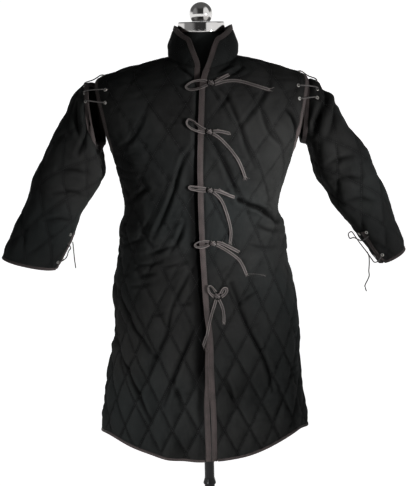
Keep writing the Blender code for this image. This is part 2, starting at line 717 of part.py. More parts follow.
def build_collar(cloth, tape):
    grid = []
    for level, row in enumerate(COLLAR):
        turns = [math.pi * step / 720 for step in range(1, 720)]
        left = min(turns, key=lambda turn: abs(collar_surface(level, turn).x - row.left_edge_x))
        right = min(turns, key=lambda turn: abs(collar_surface(level, turn).x - row.right_edge_x))
        reach = math.tau - (right - left)
        line = []
        for column in range(COLLAR_COLUMNS + 1):
            angle = left - reach * column / COLLAR_COLUMNS
            normal = normal_of(collar_surface, level, angle, len(COLLAR) - 1)
            line.append((collar_surface(level, angle), normal))
        grid.append(line)
    wall("collar", grid, [row.wall for row in COLLAR], cloth)
    path = [(*line[0], *line[1]) for line in grid[:-1]]
    path += [(*edge, *below) for edge, below in zip(grid[-1], grid[-2])]
    path += [(*line[-1], *line[-2]) for line in reversed(grid[:-1])]
    path = trimmed(path, COLLAR_TAPE_TRIM)
    edge_tape(
        "collar_binding", path, COLLAR_TAPE_WIDTH, COLLAR[-1].wall, tape, lift=COLLAR_TAPE_LIFT
    )


def slit_cutter(name, surface, angle, normal_sign, last_level):
    """A thin wedge through the wall, wider at the cuff."""
    top = surface(SLIT_TOP_LEVEL, angle)
    mouth = surface(last_level, angle)
    along = (mouth - top).normalized()
    mouth = mouth + along * 0.02
    normal = normal_of(surface, last_level - 0.4, angle, last_level, normal_sign)
    across = along.cross(normal).normalized()
    outside, inside = 0.012, 0.016
    points = []
    for place, width in ((top, SLIT_TOP_WIDTH), (mouth, SLIT_MOUTH)):
        for side, depth in ((-0.5, outside), (0.5, outside), (0.5, -inside), (-0.5, -inside)):
            points.append(place + across * width * side + normal * depth)
    faces = [(0, 1, 2, 3), (4, 7, 6, 5)]
    faces += [(a, a + 4, (a + 1) % 4 + 4, (a + 1) % 4) for a in range(4)]
    cutter = add_mesh(name, points, faces, bpy.data.materials[0])
    cutter.hide_render = True
    cutter.display_type = "WIRE"
    return cutter


def build_sleeve(side, rows, slit_angle, cloth, tape):
    surface = sleeve_surface(rows)
    last = len(rows) - 1
    # The sections run down the sleeve, so the slopes' product points in on the wearer's left.
    sign = -1 if side == "left" else 1
    grid = []
    for level in range(len(rows)):
        line = []
        for column in range(SLEEVE_COLUMNS):
            angle = slit_angle + math.tau * (column + 0.5) / SLEEVE_COLUMNS
            line.append((surface(level, angle), normal_of(surface, level, angle, last, sign)))
        grid.append(line)
    sleeve = wall(f"sleeve_{side}", grid, [PADDED_WALL] * len(grid), cloth, closed=True)
    cut = sleeve.modifiers.new("slit", "BOOLEAN")
    cut.operation = "DIFFERENCE"
    cut.object = slit_cutter(f"slit_cutter_{side}", surface, slit_angle, sign, last)
    head = [(*edge, *next_down) for edge, next_down in zip(grid[0], grid[1])]
    name = f"sleeve_head_binding_{side}"
    edge_tape(name, head, HEM_TAPE_WIDTH, PADDED_WALL, tape, True, SLEEVE_TAPE_LIFT)
    cuff = [(*edge, *next_up) for edge, next_up in zip(grid[-1], grid[-2])]
    edge_tape(f"cuff_binding_{side}", cuff, HEM_TAPE_WIDTH, PADDED_WALL, tape)
    return surface, sign


def build_ties(tape):
    for name, (x, z) in KNOTS.items():
        centre = front_place(x, z, KNOT_LIFT)
        turns = [math.pi * step / 8 for step in range(1, 8)]
        profile = [(0, -1), *((math.sin(turn), -math.cos(turn)) for turn in turns), (0, 1)]
        knot = lathe(f"{name}_knot", profile, 10, tape)
        for vertex in knot.data.vertices:
            vertex.co = centre + Vector(a * b for a, b in zip(vertex.co, KNOT_RADII))
    for name, strand in TIE_STRANDS.items():
        cord(name, [front_place(x * MM, z * MM, lift * MM) for x, z, lift in strand], TIE_RADIUS, tape)


def build_shoulder_laces(side, surface, sign, lace):
    """Three rungs across the gap between the armhole and the sleeve's head."""
    mirror = 1 if side == "left" else -1
    rungs = {
        "top": (0.2130, 1.3950, 0.33, 16),
        "middle": (0.2140, 1.3680, 0.40, 40),
        "low": (0.2150, 1.3400, 0.42, 58),
    }
    lift = LACE_RADIUS + 0.0002
    for name, (x, z, level, degrees) in rungs.items():
        angle = math.radians(degrees)
        if name == "top":
            at = (SHOULDER_TIP + 0.45, math.radians(8) if side == "left" else math.radians(172))
            start, start_normal = torso_surface(*at), torso_normal(*at)
        else:
            start = front_place(mirror * x, z, 0)
            start_normal = (front_place(mirror * x, z, 0.001) - start).normalized()
        end = surface(level, angle)
        end_normal = normal_of(surface, level, angle, 8, sign)
        over = (start_normal + end_normal).normalized()
        route = [
            start + start_normal * lift,
            start.lerp(end, 0.15) + start_normal * (lift + 0.0035),
            start.lerp(end, 0.5) + over * 0.0095,
            start.lerp(end, 0.89) + end_normal * (lift + 0.0070),
            end + end_normal * (lift - 0.0005),
        ]
        cord(f"shoulder_lace_{side}_{name}", route, LACE_RADIUS, lace)


def build_cuff_laces(side, surface, slit_angle, sign, lace):
    """The cuff's lace: across the slit, a small bow and the hanging end."""
    lift = LACE_RADIUS + 0.0001

    def place(level, degrees, extra=0.0):
        angle = slit_angle - math.radians(degrees)
        return surface(level, angle) + normal_of(surface, level, angle, 8, sign) * (lift + extra)

    if side == "left":
        # Across the slit into a small bow, then tight along the edge to the lowest eyelet.
        across = [place(6.95, 14), place(6.98, 4, 0.0025), place(7.02, -12, 0.005)]
        across += [Vector(point) for point in LEFT_CUFF_BOW]
        across += [place(7.86, -6, 0.005), place(7.80, 4, 0.003), place(7.72, 14)]
        tail = [Vector(point) for point in LEFT_CUFF_TAIL]
    else:
        across = [place(7.15, 14), place(7.22, 6, 0.002), place(7.3, -2, 0.003)]
        across += [place(7.42, -10, 0.001), place(7.56, -4, 0.004), place(7.66, 4, 0.003)]
        across.append(place(7.72, 14))
        start = place(7.15, -20)
        tail = [start + Vector(drop) for drop in RIGHT_CUFF_DROPS]
    cord(f"cuff_lace_{side}_cross", across, LACE_RADIUS, lace)
    cord(f"cuff_lace_{side}_tail", tail, LACE_RADIUS, lace)


def build_dress_form(cloth, chrome, enamel):
    lathe(
        "base",
        [
            (0, 0), (BASE_RADIUS - 0.002, 0), (BASE_RADIUS, 0.002),
            (BASE_RADIUS, BASE_THICKNESS - 0.003), (BASE_RADIUS - 0.003, BASE_THICKNESS),
            (0.034, BASE_THICKNESS + 0.004),
            (0.030, HUB_TOP - 0.004), (0.020, HUB_TOP), (0, HUB_TOP),
        ],
        48,
        enamel,
    )
    bottom, top = HUB_TOP + SEAM_GAP, COUPLING_BOTTOM
    pole = [(0, bottom), (LOWER_POLE_RADIUS, bottom), (LOWER_POLE_RADIUS, top), (0, top)]
    lathe("lower_pole", pole, 24, enamel)
    low, high = COUPLING_BOTTOM + SEAM_GAP, COUPLING_TOP
    lathe(
        "pole_coupling",
        [
            (0, low), (COUPLING_RADIUS, low), (COUPLING_RADIUS, low + 0.003), (0.0140, low + 0.008),
            (0.0124, high - 0.001), (0.0124, high), (0, high),
        ],
        24,
        enamel,
    )
    bottom, top = high + SEAM_GAP, FORM_BOTTOM - SEAM_GAP
    pole = [(0, bottom), (UPPER_POLE_RADIUS, bottom), (UPPER_POLE_RADIUS, top), (0, top)]
    lathe("upper_pole", pole, 20, enamel)
    build_form_body(cloth)
    lathe(
        "neck_cap",
        [
            (0, NECK_TOP + SEAM_GAP), (0.0440, NECK_TOP + SEAM_GAP), (0.0455, NECK_TOP + 0.0015),
            (CAP_RADIUS - 0.002, 1.5000), (CAP_RADIUS, 1.5040), (CAP_RADIUS - 0.002, 1.5070),
            (0.040, 1.5100), (0.018, CAP_TOP), (0, CAP_TOP),
        ],
        32,
        chrome,
        NECK_X,
    )
    # The ball is cut flat where it stands on the cap.
    foot = CAP_TOP + SEAM_GAP
    first = math.acos((BALL_Z - foot) / BALL_RADIUS)
    steps = 12
    profile = [(0, foot)]
    for step in range(steps):
        polar = first + (math.pi - first) * step / steps
        profile.append((BALL_RADIUS * math.sin(polar), BALL_Z - BALL_RADIUS * math.cos(polar)))
    profile.append((0, BALL_Z + BALL_RADIUS))
    lathe("finial", profile, 24, chrome, NECK_X)


def build_form_body(cloth):
    """The form follows the cloth from inside: clear below, just under it along the shoulders."""
    rings = []
    angles = [math.tau * column / FORM_COLUMNS for column in range(FORM_COLUMNS)]
    for row in FORM_ROWS:
        ring = []
        for angle in angles:
            base = torso_base(row.level, angle)
            centre = Vector((0, 0, base.z))
            away = base - centre
            limit = FORM_SHOULDER_HALF_WIDTH / max(abs(base.x), FORM_SHOULDER_HALF_WIDTH)
            ring.append(centre + away * (1 - row.inset / away.length) * limit)
        rings.append(ring)
    shoulder_levels = (23.5, 24.0, 24.6, 25.3, 26.0, 26.6)
    depth = PADDED_WALL + FORM_SHOULDER_CLEARANCE
    for level in shoulder_levels:
        ring = []
        for angle in angles:
            side = abs(math.cos(angle)) ** 2
            inset = depth + (1 - side) * 0.012
            normal = normal_of(torso_base, level, angle, len(TORSO) - 1)
            ring.append(torso_base(level, angle) - normal * inset)
        rings.append(ring)
    for radius, z in NECK_PROFILE:
        ring = [Vector((radius * math.cos(a), -radius * math.sin(a), z)) for a in angles]
        rings.append([Vector((NECK_X, 0, 0)) + place for place in ring])
    rings.insert(0, [Vector((p.x * 0.93, p.y * 0.92, FORM_BOTTOM)) for p in rings[0]])
    points = [point for ring in rings for point in ring]
    faces = [tuple(range(FORM_COLUMNS))]
    for row in range(len(rings) - 1):
        for column in range(FORM_COLUMNS):
            a = row * FORM_COLUMNS + column
            b = row * FORM_COLUMNS + (column + 1) % FORM_COLUMNS
            faces.append((a, b, b + FORM_COLUMNS, a + FORM_COLUMNS))
    faces.append(tuple(range(len(points) - FORM_COLUMNS, len(points))))
    add_mesh("torso_form", points, faces, cloth)


def main():
    clear_scene()
    canvas = material("padded_canvas", (0.010, 0.011, 0.013), 0.85)
    tape = material("binding_tape", (0.060, 0.052, 0.050), 0.75)
    lace = material("lace", (0.030, 0.027, 0.027), 0.70)
    jersey = material("form_jersey", (0.015, 0.015, 0.017), 0.90)
    chrome = material("polished_chrome", (0.80, 0.80, 0.80), 0.08, 1.0)
    enamel = material("black_enamel", (0.012, 0.012, 0.013), 0.35)
    build_dress_form(jersey, chrome, enamel)
    facets = [outer_facets(grid) for grid in build_body(canvas, tape)]
    build_collar(canvas, tape)
    sleeves = {"left": (SLEEVE_LEFT, SLIT_ANGLE_LEFT), "right": (SLEEVE_RIGHT, SLIT_ANGLE_RIGHT)}
    for side, (rows, slit_angle) in sleeves.items():
        build_armhole(side, facets, tape)
        surface, sign = build_sleeve(side, rows, slit_angle, canvas, tape)
        build_shoulder_laces(side, surface, sign, lace)
        build_cuff_laces(side, surface, slit_angle, sign, lace)
    build_ties(tape)


main()
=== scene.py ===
"""A quilted gambeson with laced-on sleeves, worn by a limbless dress form on its stand.

Metres, +Z up, the front towards -Y, and the floor at z = 0. "Left" and "right" are the wearer's.
"""

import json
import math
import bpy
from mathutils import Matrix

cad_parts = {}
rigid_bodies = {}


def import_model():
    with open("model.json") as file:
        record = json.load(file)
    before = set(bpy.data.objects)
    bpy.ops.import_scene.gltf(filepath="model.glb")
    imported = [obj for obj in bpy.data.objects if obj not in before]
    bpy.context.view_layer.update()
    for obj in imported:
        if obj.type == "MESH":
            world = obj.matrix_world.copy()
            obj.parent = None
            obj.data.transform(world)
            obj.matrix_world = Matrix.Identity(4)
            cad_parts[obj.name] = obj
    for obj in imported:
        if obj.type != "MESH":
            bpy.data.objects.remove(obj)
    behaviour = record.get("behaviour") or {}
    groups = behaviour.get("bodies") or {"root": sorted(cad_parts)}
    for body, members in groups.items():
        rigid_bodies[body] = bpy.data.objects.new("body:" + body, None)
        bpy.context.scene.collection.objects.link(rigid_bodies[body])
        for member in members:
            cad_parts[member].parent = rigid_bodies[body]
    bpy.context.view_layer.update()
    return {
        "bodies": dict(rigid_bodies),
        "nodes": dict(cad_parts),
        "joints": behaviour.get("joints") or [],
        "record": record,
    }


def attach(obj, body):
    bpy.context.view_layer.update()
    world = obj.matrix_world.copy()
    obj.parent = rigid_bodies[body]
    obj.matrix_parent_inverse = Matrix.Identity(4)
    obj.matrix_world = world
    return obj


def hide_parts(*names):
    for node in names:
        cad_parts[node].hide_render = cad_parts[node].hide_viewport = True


bl_info = {
    "name": "Gambeson on a Dress Form",
    "version": (1, 0, 0),
    "blender": (4, 5, 0),
    "location": "View3D > Sidebar > Gambeson",
    "description": "Builds a quilted arming coat with ties and laced sleeves on a dress form",
    "category": "Add Mesh",
}

from collections import namedtuple
from functools import cache, partial

import bpy
import numpy as np
from bpy.props import FloatProperty, FloatVectorProperty, IntProperty, PointerProperty
from mathutils import Matrix, Vector
from mathutils.bvhtree import BVHTree

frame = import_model()

MM = 0.001
BODY = "root"
SIDES = {"left": 1, "right": -1}
SEAM_GAP = 0.0003

# One row for each level of the body, hem to neckline. A level's height changes from its side to
# its front and back, and armhole is how far the armhole's edge stands from the side seam.
TorsoRow = namedtuple(
    "TorsoRow", "side_z front_z back_z centre_x half_width front_depth back_depth power armhole"
)
TORSO = [TorsoRow(*row) for row in (
    (0.549, 0.521, 0.543, -0.0110, 0.2500, 0.160, 0.156, 2.2, 0),
    (0.582, 0.558, 0.578, -0.0100, 0.2460, 0.159, 0.154, 2.2, 0),
    (0.628, 0.608, 0.626, -0.0090, 0.2400, 0.157, 0.151, 2.2, 0),
    (0.689, 0.673, 0.687, -0.0070, 0.2330, 0.154, 0.148, 2.2, 0),
    (0.749, 0.737, 0.748, -0.0045, 0.2260, 0.151, 0.146, 2.2, 0),
    (0.809, 0.800, 0.808, 0.0000, 0.2210, 0.147, 0.144, 2.2, 0),
    (0.868, 0.862, 0.867, -0.0040, 0.2185, 0.142, 0.141, 2.2, 0),
    (0.922, 0.918, 0.922, -0.0065, 0.2120, 0.137, 0.137, 2.2, 0),
    (0.955, 0.952, 0.955, -0.0060, 0.2025, 0.133, 0.133, 2.2, 0),
    (1.000, 0.998, 1.000, -0.0035, 0.1960, 0.128, 0.126, 2.2, 0),
    (1.042, 1.041, 1.042, -0.0030, 0.1925, 0.125, 0.121, 2.2, 0),
    (1.072, 1.072, 1.072, -0.0045, 0.1800, 0.122, 0.118, 2.2, 0),
    (1.105, 1.105, 1.105, -0.0020, 0.1805, 0.124, 0.118, 2.2, 0),
    (1.140, 1.140, 1.140, -0.0015, 0.1870, 0.128, 0.121, 2.2, 0),
    (1.180, 1.180, 1.180, -0.0005, 0.1970, 0.133, 0.127, 2.25, 0),
    (1.218, 1.218, 1.218, 0.0000, 0.2095, 0.136, 0.131, 2.3, 0),
    (1.227, 1.226, 1.227, 0.0000, 0.2140, 0.1362, 0.1315, 2.35, 0.036),
    (1.241, 1.239, 1.241, 0.0000, 0.2210, 0.1360, 0.1315, 2.4, 0.055),
    (1.266, 1.261, 1.268, 0.0000, 0.2330, 0.1345, 0.1300, 2.5, 0.066),
    (1.302, 1.292, 1.306, 0.0000, 0.2430, 0.1305, 0.1260, 2.6, 0.070),
    (1.338, 1.322, 1.345, 0.0000, 0.2480, 0.1250, 0.1200, 2.7, 0.066),
    (1.364, 1.343, 1.375, 0.0000, 0.2470, 0.1195, 0.1130, 2.7, 0.053),
    (1.381, 1.357, 1.394, 0.0000, 0.2430, 0.1150, 0.1060, 2.6, 0.030),
    (1.391, 1.366, 1.405, 0.0000, 0.2330, 0.1120, 0.1010, 2.5, 0),
    (1.403, 1.378, 1.415, 0.0000, 0.2020, 0.1075, 0.0940, 2.4, 0),
    (1.416, 1.390, 1.424, 0.0020, 0.1570, 0.1030, 0.0860, 2.3, 0),
    (1.4265, 1.401, 1.432, 0.0030, 0.1150, 0.0980, 0.0795, 2.2, 0),
    (1.4345, 1.412, 1.438, 0.0035, 0.0800, 0.0930, 0.0740, 2.1, 0),
)]
HEM_RISE = 0.036
HEM_RISE_LEVELS = 4
ARMHOLE_BOTTOM = 15
ARMHOLE_TURNS = [15, 15.03, 15.1, 15.25, 15.45, 15.7, 22.5, 22.75, 22.9, 22.97, 23]
SHOULDER_TIP = 23

# The outer front's edge, hem to neck, and how far the under front passes it and sinks beneath it.
ClosureRow = namedtuple("ClosureRow", "z edge_x under_reach sink")
CLOSURE = [ClosureRow(*row) for row in (
    (0.520, 0.0070, -0.0038, 0.0),
    (0.560, 0.0076, -0.0040, 0.0),
    (0.600, 0.0080, -0.0052, 0.0),
    (0.655, 0.0068, -0.0050, 1.0),
    (0.700, 0.0045, 0.0010, 1.0),
    (0.754, 0.0036, 0.0030, 1.0),
    (0.800, 0.0034, 0.0050, 1.0),
    (0.830, 0.0010, 0.0100, 1.0),
    (0.865, -0.0035, 0.0115, 1.0),
    (0.918, -0.0065, 0.0115, 1.0),
    (1.010, -0.0105, 0.0115, 1.0),
    (1.100, -0.0120, 0.0115, 1.0),
    (1.200, -0.0120, 0.0115, 1.0),
    (1.292, -0.0080, 0.0115, 1.0),
    (1.366, -0.0040, 0.0115, 1.0),
    (1.378, -0.0025, 0.0040, 1.0),
    (1.390, 0.0000, -0.0045, 1.0),
    (1.401, 0.0035, -0.0080, 0.8),
    (1.412, 0.0080, -0.0120, 0.0),
)]
UNDER_DIP = 0.0095

# The collar, neckline to rim, with the places of its two front edges.
CollarRow = namedtuple(
    "CollarRow",
    "side_z front_z back_z centre_x half_width front_depth back_depth left_edge_x right_edge_x wall",
)
COLLAR = [CollarRow(*row) for row in (
    (1.4342, 1.4120, 1.4376, 0.0035, 0.0792, 0.0924, 0.0732, 0.0090, -0.0035, 0.0065),
    (1.4480, 1.4260, 1.4500, 0.0036, 0.0786, 0.0905, 0.0705, 0.0145, -0.0055, 0.0065),
    (1.4640, 1.4400, 1.4640, 0.0042, 0.0775, 0.0875, 0.0670, 0.0200, -0.0110, 0.0065),
    (1.4850, 1.4560, 1.4770, 0.0050, 0.0720, 0.0835, 0.0640, 0.0262, -0.0180, 0.0060),
    (1.5035, 1.4700, 1.4880, 0.0060, 0.0655, 0.0780, 0.0610, 0.0335, -0.0245, 0.0045),
)]
COLLAR_POWER = 2.1

# Each sleeve, from its laced head to its cuff: the outer and the inner edge of each section.
SleeveRow = namedtuple("SleeveRow", "outer_x outer_z inner_x inner_z half_depth centre_y")
SLEEVES = {
    "left": (
        (0.2530, 1.3790, 0.2385, 1.2270, 0.068, 0.000),
        (0.2760, 1.3620, 0.2440, 1.2200, 0.069, 0.000),
        (0.2960, 1.3410, 0.2480, 1.2020, 0.069, 0.000),
        (0.3180, 1.3050, 0.2510, 1.1820, 0.068, -0.001),
        (0.3420, 1.2680, 0.2570, 1.1580, 0.067, -0.002),
        (0.3760, 1.2090, 0.2760, 1.1280, 0.065, -0.004),
        (0.4110, 1.1400, 0.3130, 1.0710, 0.062, -0.008),
        (0.4440, 1.0560, 0.3620, 1.0110, 0.058, -0.012),
        (0.4670, 0.9860, 0.4050, 0.9520, 0.052, -0.016),
    ),
    "right": (
        (-0.2590, 1.3800, -0.2400, 1.2360, 0.068, 0.000),
        (-0.2760, 1.3670, -0.2370, 1.2180, 0.069, 0.000),
        (-0.2920, 1.3480, -0.2300, 1.1980, 0.069, 0.000),
        (-0.3120, 1.3120, -0.2295, 1.1780, 0.068, -0.001),
        (-0.3380, 1.2710, -0.2375, 1.1560, 0.067, -0.002),
        (-0.3720, 1.2060, -0.2615, 1.1210, 0.065, -0.004),
        (-0.4070, 1.1320, -0.2810, 1.0790, 0.062, -0.008),
        (-0.4400, 1.0580, -0.3060, 1.0220, 0.058, -0.012),
        (-0.4745, 0.9830, -0.3465, 0.9520, 0.053, -0.016),
    ),
}
SLEEVE_POWER = 2.2

# What a sleeve has inside the armhole, before its first row.
SLEEVE_HEADS = {
    "left": SleeveRow(0.2345, 1.3765, 0.2262, 1.2330, 0.0600, 0.000),
    "right": SleeveRow(-0.2385, 1.3775, -0.2262, 1.2330, 0.0600, 0.000),
}
SLIT_ANGLE = {"left": math.radians(138), "right": math.radians(168)}
SLIT_TOP_LEVEL = 6.75
SLIT_MOUTH = 0.0080

# How the quilting's diamonds change up the body: their width and where one of them is centred.
QuiltRow = namedtuple("QuiltRow", "z width centre puff")
QUILT = [QuiltRow(*row) for row in (
    (0.50, 0.060, -0.024, 1.25),
    (0.72, 0.060, -0.024, 1.25),
    (0.82, 0.060, -0.024, 1.00),
    (0.95, 0.062, -0.020, 0.75),
    (1.08, 0.066, -0.010, 0.50),
    (1.22, 0.076, 0.000, 0.60),
    (1.36, 0.078, 0.004, 0.60),
    (1.46, 0.078, 0.004, 0.50),
)]
QUILT_Z = 0.709
QUILT_HEIGHT = 0.114

# How full each panel's diamonds are at some heights, beside what the rows of QUILT say.
PANEL_FULLNESS = {
    "front_left": ([0.8, 1.0, 1.2], [0.62, 0.60, 0.72]),
    "front_right": ([0.9, 1.1, 1.3], [1.15, 0.50, 0.40]),
    "back": ([0], [1]),
}

# Each crease as a trough's depth and half width, then its places x and z, all in millimetres.
CREASES = {
    "front": [
        # The wearer's right front, shoulder to hem
        (3.4, 5, (-52, 1417), (-31, 1404), (-10, 1391)),
        (1.8, 5, (-126, 1313), (-154, 1264), (-183, 1242)),
        (2.6, 5, (-168, 1112), (-148, 1132), (-127, 1150)),
        (2.6, 5, (-20, 1243), (-43, 1218), (-59, 1174), (-68, 1143), (-94, 1081), (-115, 1039)),
        (2.6, 5, (-43, 1075), (-58, 1038), (-79, 1004)),
        (2.6, 4, (-150, 972), (-125, 976), (-99, 985)),
        (2.6, 4, (-125, 1000), (-100, 1010), (-76, 1019)),
        (2.4, 4, (-152, 949), (-132, 952), (-112, 958)),
        (2.4, 4, (-95, 972), (-70, 977), (-44, 984)),
        (2.2, 4, (-168, 923), (-148, 926), (-126, 933)),
        (2.2, 4, (-188, 944), (-172, 950)),
        (2.2, 4, (-122, 860), (-106, 864), (-90, 870)),
        (2.4, 4, (-70, 886), (-48, 889), (-26, 895)),
        (2.0, 4, (-186, 1010), (-160, 1024), (-138, 1032)),
        (3.6, 6, (-210, 915), (-192, 880), (-163, 824), (-119, 765)),
        (4.0, 6, (-216, 785), (-195, 745), (-175, 708), (-133, 612)),
        (2.8, 5, (-15, 996), (-46, 941), (-75, 883), (-90, 821), (-115, 768), (-141, 706)),
        (3.6, 5, (-18, 856), (-50, 780), (-76, 717), (-101, 653)),
        (2.6, 5, (-76, 713), (-62, 670), (-57, 648)),
        # The wearer's left front
        (3.4, 5, (70, 1424), (54, 1411), (36, 1401)),
        (2.6, 4, (88, 1408), (64, 1396), (46, 1392)),
        (4.2, 6, (184, 1316), (197, 1302), (206, 1282), (208, 1262)),
        (2.2, 5, (149, 1372), (123, 1333), (83, 1286)),
        (2.2, 5, (39, 1367), (55, 1345), (80, 1290), (95, 1240), (115, 1192)),
        (1.8, 5, (58, 1351), (31, 1320)),
        (2.0, 5, (126, 1327), (146, 1271), (181, 1234)),
        (3.0, 6, (23, 1249), (45, 1206), (65, 1157), (78, 1119)),
        (7.5, 5, (76, 1121), (100, 1108), (126, 1096), (166, 1063)),
        (2.4, 6, (118, 1062), (146, 1046), (174, 1040)),
        (1.8, 5, (100, 1020), (130, 1008), (165, 1006)),
        (3.4, 5, (56, 935), (75, 886), (78, 872), (99, 822), (125, 770), (141, 724), (149, 676)),
        (2.4, 4, (75, 886), (92, 899), (110, 909)),
        (2.2, 4, (98, 825), (107, 831), (117, 838)),
        (2.2, 4, (124, 775), (135, 784)),
        (2.8, 4, (42, 718), (52, 692), (61, 666), (72, 673)),
        # The left sleeve
        (3.6, 3.5, (256, 1364), (262, 1336), (255, 1306), (246, 1284)),
        (3.6, 3.5, (264, 1364), (270, 1336), (260, 1300), (248, 1278)),
        (7.5, 7, (276, 1362), (282, 1338), (264, 1302), (249, 1266)),
        (3.0, 6, (300, 1338), (300, 1300), (284, 1262)),
        (2.6, 6, (282, 1190), (306, 1202), (336, 1206)),
        (2.6, 6, (296, 1150), (322, 1160), (352, 1158)),
        (2.2, 6, (330, 1108), (352, 1112), (384, 1104)),
        # The right sleeve
        (5.0, 6, (-262, 1330), (-256, 1304), (-252, 1272), (-246, 1252)),
        (4.0, 6, (-257, 1300), (-264, 1262), (-279, 1228)),
        (3.2, 6, (-282, 1340), (-286, 1300), (-276, 1264)),
        (2.6, 6, (-264, 1180), (-292, 1190), (-328, 1190)),
        (2.6, 6, (-276, 1130), (-304, 1140), (-340, 1136)),
        (2.2, 6, (-300, 1066), (-330, 1078), (-366, 1072)),
    ],
    "back": [
        # The body
        (3.6, 7, (-120, 1098), (-60, 1080), (0, 1076), (70, 1084)),
        (2.8, 6, (130, 1120), (90, 1098), (40, 1092)),
        (2.6, 5, (-170, 1060), (-120, 1052), (-70, 1048)),
        (2.4, 5, (60, 1052), (110, 1046), (168, 1062)),
        (2.2, 5, (-40, 1040), (0, 1030), (46, 1036)),
        (2.2, 5, (100, 1004), (140, 998), (175, 1010)),
        (2.2, 5, (-178, 1002), (-140, 996), (-108, 1000)),
        (3.4, 7, (60, 960), (84, 880), (104, 780), (128, 660)),
        (3.4, 7, (-70, 950), (-84, 860), (-112, 760), (-124, 640)),
        (2.8, 7, (6, 900), (-6, 800), (4, 690)),
        (3.2, 7, (150, 1330), (128, 1290), (120, 1240)),
        (3.2, 7, (-152, 1326), (-132, 1290), (-122, 1236)),
        (2.6, 6, (-80, 1424), (-40, 1400), (0, 1394), (44, 1402), (84, 1422)),
        # The left sleeve
        (3.0, 7, (262, 1350), (270, 1310), (258, 1268)),
        (2.8, 7, (290, 1190), (326, 1196), (360, 1180)),
        (2.6, 7, (306, 1136), (338, 1140), (372, 1124)),
        # The right sleeve
        (3.0, 7, (-262, 1350), (-270, 1310), (-256, 1266)),
        (2.8, 7, (-270, 1184), (-306, 1194), (-346, 1178)),
        (2.6, 7, (-286, 1118), (-322, 1128), (-362, 1114)),
    ],
}

# The ties: the knot's place on the front, then each strand as x, z and how far it stands off.
KNOTS = {
    "tie_1": (20.5, 1380.0),
    "tie_2": (14.5, 1276.0),
    "tie_3": (13.5, 1147.0),
    "tie_4": (18.0, 1026.5),
    "tie_5": (25.7, 908.0),
}
TIE_STRANDS = {
    "tie_1_loop_left": [
        (12, 1383, 4.8), (0, 1386, 4.8), (-18, 1384, 4.4), (-31, 1377, 3.6), (-34, 1371, 3.6),
        (-26, 1366, 3.6), (-12, 1367, 4.4), (2, 1371, 4.8), (12.5, 1376, 4.8),
    ],
    "tie_1_loop_right": [
        (29.5, 1381.5, 8), (40, 1387, 9.2), (52, 1393, 9), (60, 1396, 6), (55, 1394.5, 3.3),
        (44, 1390.5, 3), (34, 1387.5, 3),
    ],
    "tie_1_tail": [
        (29.5, 1376.5, 3.2), (38, 1379, 3), (52, 1382.5, 3), (70, 1383.5, 3),
        (88, 1381, 3), (112, 1374, 3), (136, 1366, 3), (145, 1363, 3),
    ],
    "tie_2_loop_left": [
        (6.5, 1280, 4.8), (-6, 1288, 4.8), (-20, 1299, 4.4), (-29, 1303.5, 3.6), (-34, 1299, 3.2),
        (-32, 1290, 3.2), (-20, 1281, 4.4), (-6, 1276, 4.8), (5.5, 1274, 4.8),
    ],
    "tie_2_loop_right": [
        (23.5, 1277, 8), (34, 1277, 9.2), (48, 1274.5, 9), (59, 1271, 6), (55, 1271.5, 3.3),
        (43, 1275, 2.7), (31, 1278.5, 2.7),
    ],
    "tie_2_tail": [
        (22.5, 1271, 3.3), (30, 1267, 3), (41, 1258, 3), (53, 1245, 3), (66, 1229, 3),
        (77, 1212, 3), (85, 1194, 3), (91, 1176, 3),
    ],
    "tie_3_loop_left": [
        (5, 1150.5, 4.8), (-8, 1153.5, 5), (-22, 1156, 4.6), (-31, 1156, 3.5), (-30, 1150.5, 3.3),
        (-18, 1147.5, 4.6), (-6, 1145.5, 4.8), (4.5, 1145, 4.8),
    ],
    "tie_3_loop_right": [
        (22.5, 1147, 8), (34, 1144, 9.2), (52, 1136, 9), (67, 1129.5, 6), (62, 1131, 3.3),
        (48, 1138, 3), (32, 1147.5, 3),
    ],
    "tie_3_tail": [
        (21, 1141.5, 3.3), (30, 1134, 3), (39, 1122, 3), (46, 1106, 3), (52, 1086, 3),
        (57, 1065, 3), (59, 1048, 3), (57, 1029, 3),
    ],
    "tie_4_loop_left": [
        (9.5, 1030, 4.8), (-2, 1032, 5), (-14, 1030, 4.6), (-22, 1024.5, 3.5), (-20, 1019.5, 3.3),
        (-10, 1018, 4.6), (0, 1019.5, 4.8), (9.5, 1023.5, 4.8),
    ],
    "tie_4_loop_right": [
        (27, 1028.5, 8), (38, 1026, 9.2), (58, 1016, 9), (76, 1004, 6), (71, 1006.5, 3.3),
        (54, 1016.5, 3), (37, 1027.5, 3),
    ],
    "tie_4_tail": [
        (26.5, 1022, 3.3), (38, 1016, 3), (52, 1007, 3), (66, 996, 3), (77, 985, 3),
        (85, 971, 3), (92, 953, 3),
    ],
    "tie_5_loop_left": [
        (22.5, 917, 4.8), (18, 924, 5), (12.5, 930.5, 4.9), (7, 931, 4.8), (5.5, 925, 4.6),
        (8, 917, 4.4), (12.5, 911, 4.6), (17.5, 907.5, 4.8),
    ],
    "tie_5_loop_right": [
        (33.5, 911.5, 4.4), (36, 918, 4.3), (40.5, 923.5, 3.8), (46.5, 923, 2.9), (46.5, 916.5, 2.6),
        (41.5, 910, 2.6), (35, 905.5, 3.2),
    ],
    "tie_5_tail": [
        (22.5, 899, 3.3), (18.5, 886, 3.1), (12.5, 868, 3.5), (7, 848, 4.4), (3, 830, 4.4),
        (-1, 814, 4.4), (-8, 793, 4),
    ],
    "tie_5_tail_short": [
        (29.5, 899, 2.9), (34, 889, 2.6), (38, 876, 2.6), (39.5, 862, 2.6), (39.5, 848, 2.6),
    ],
}

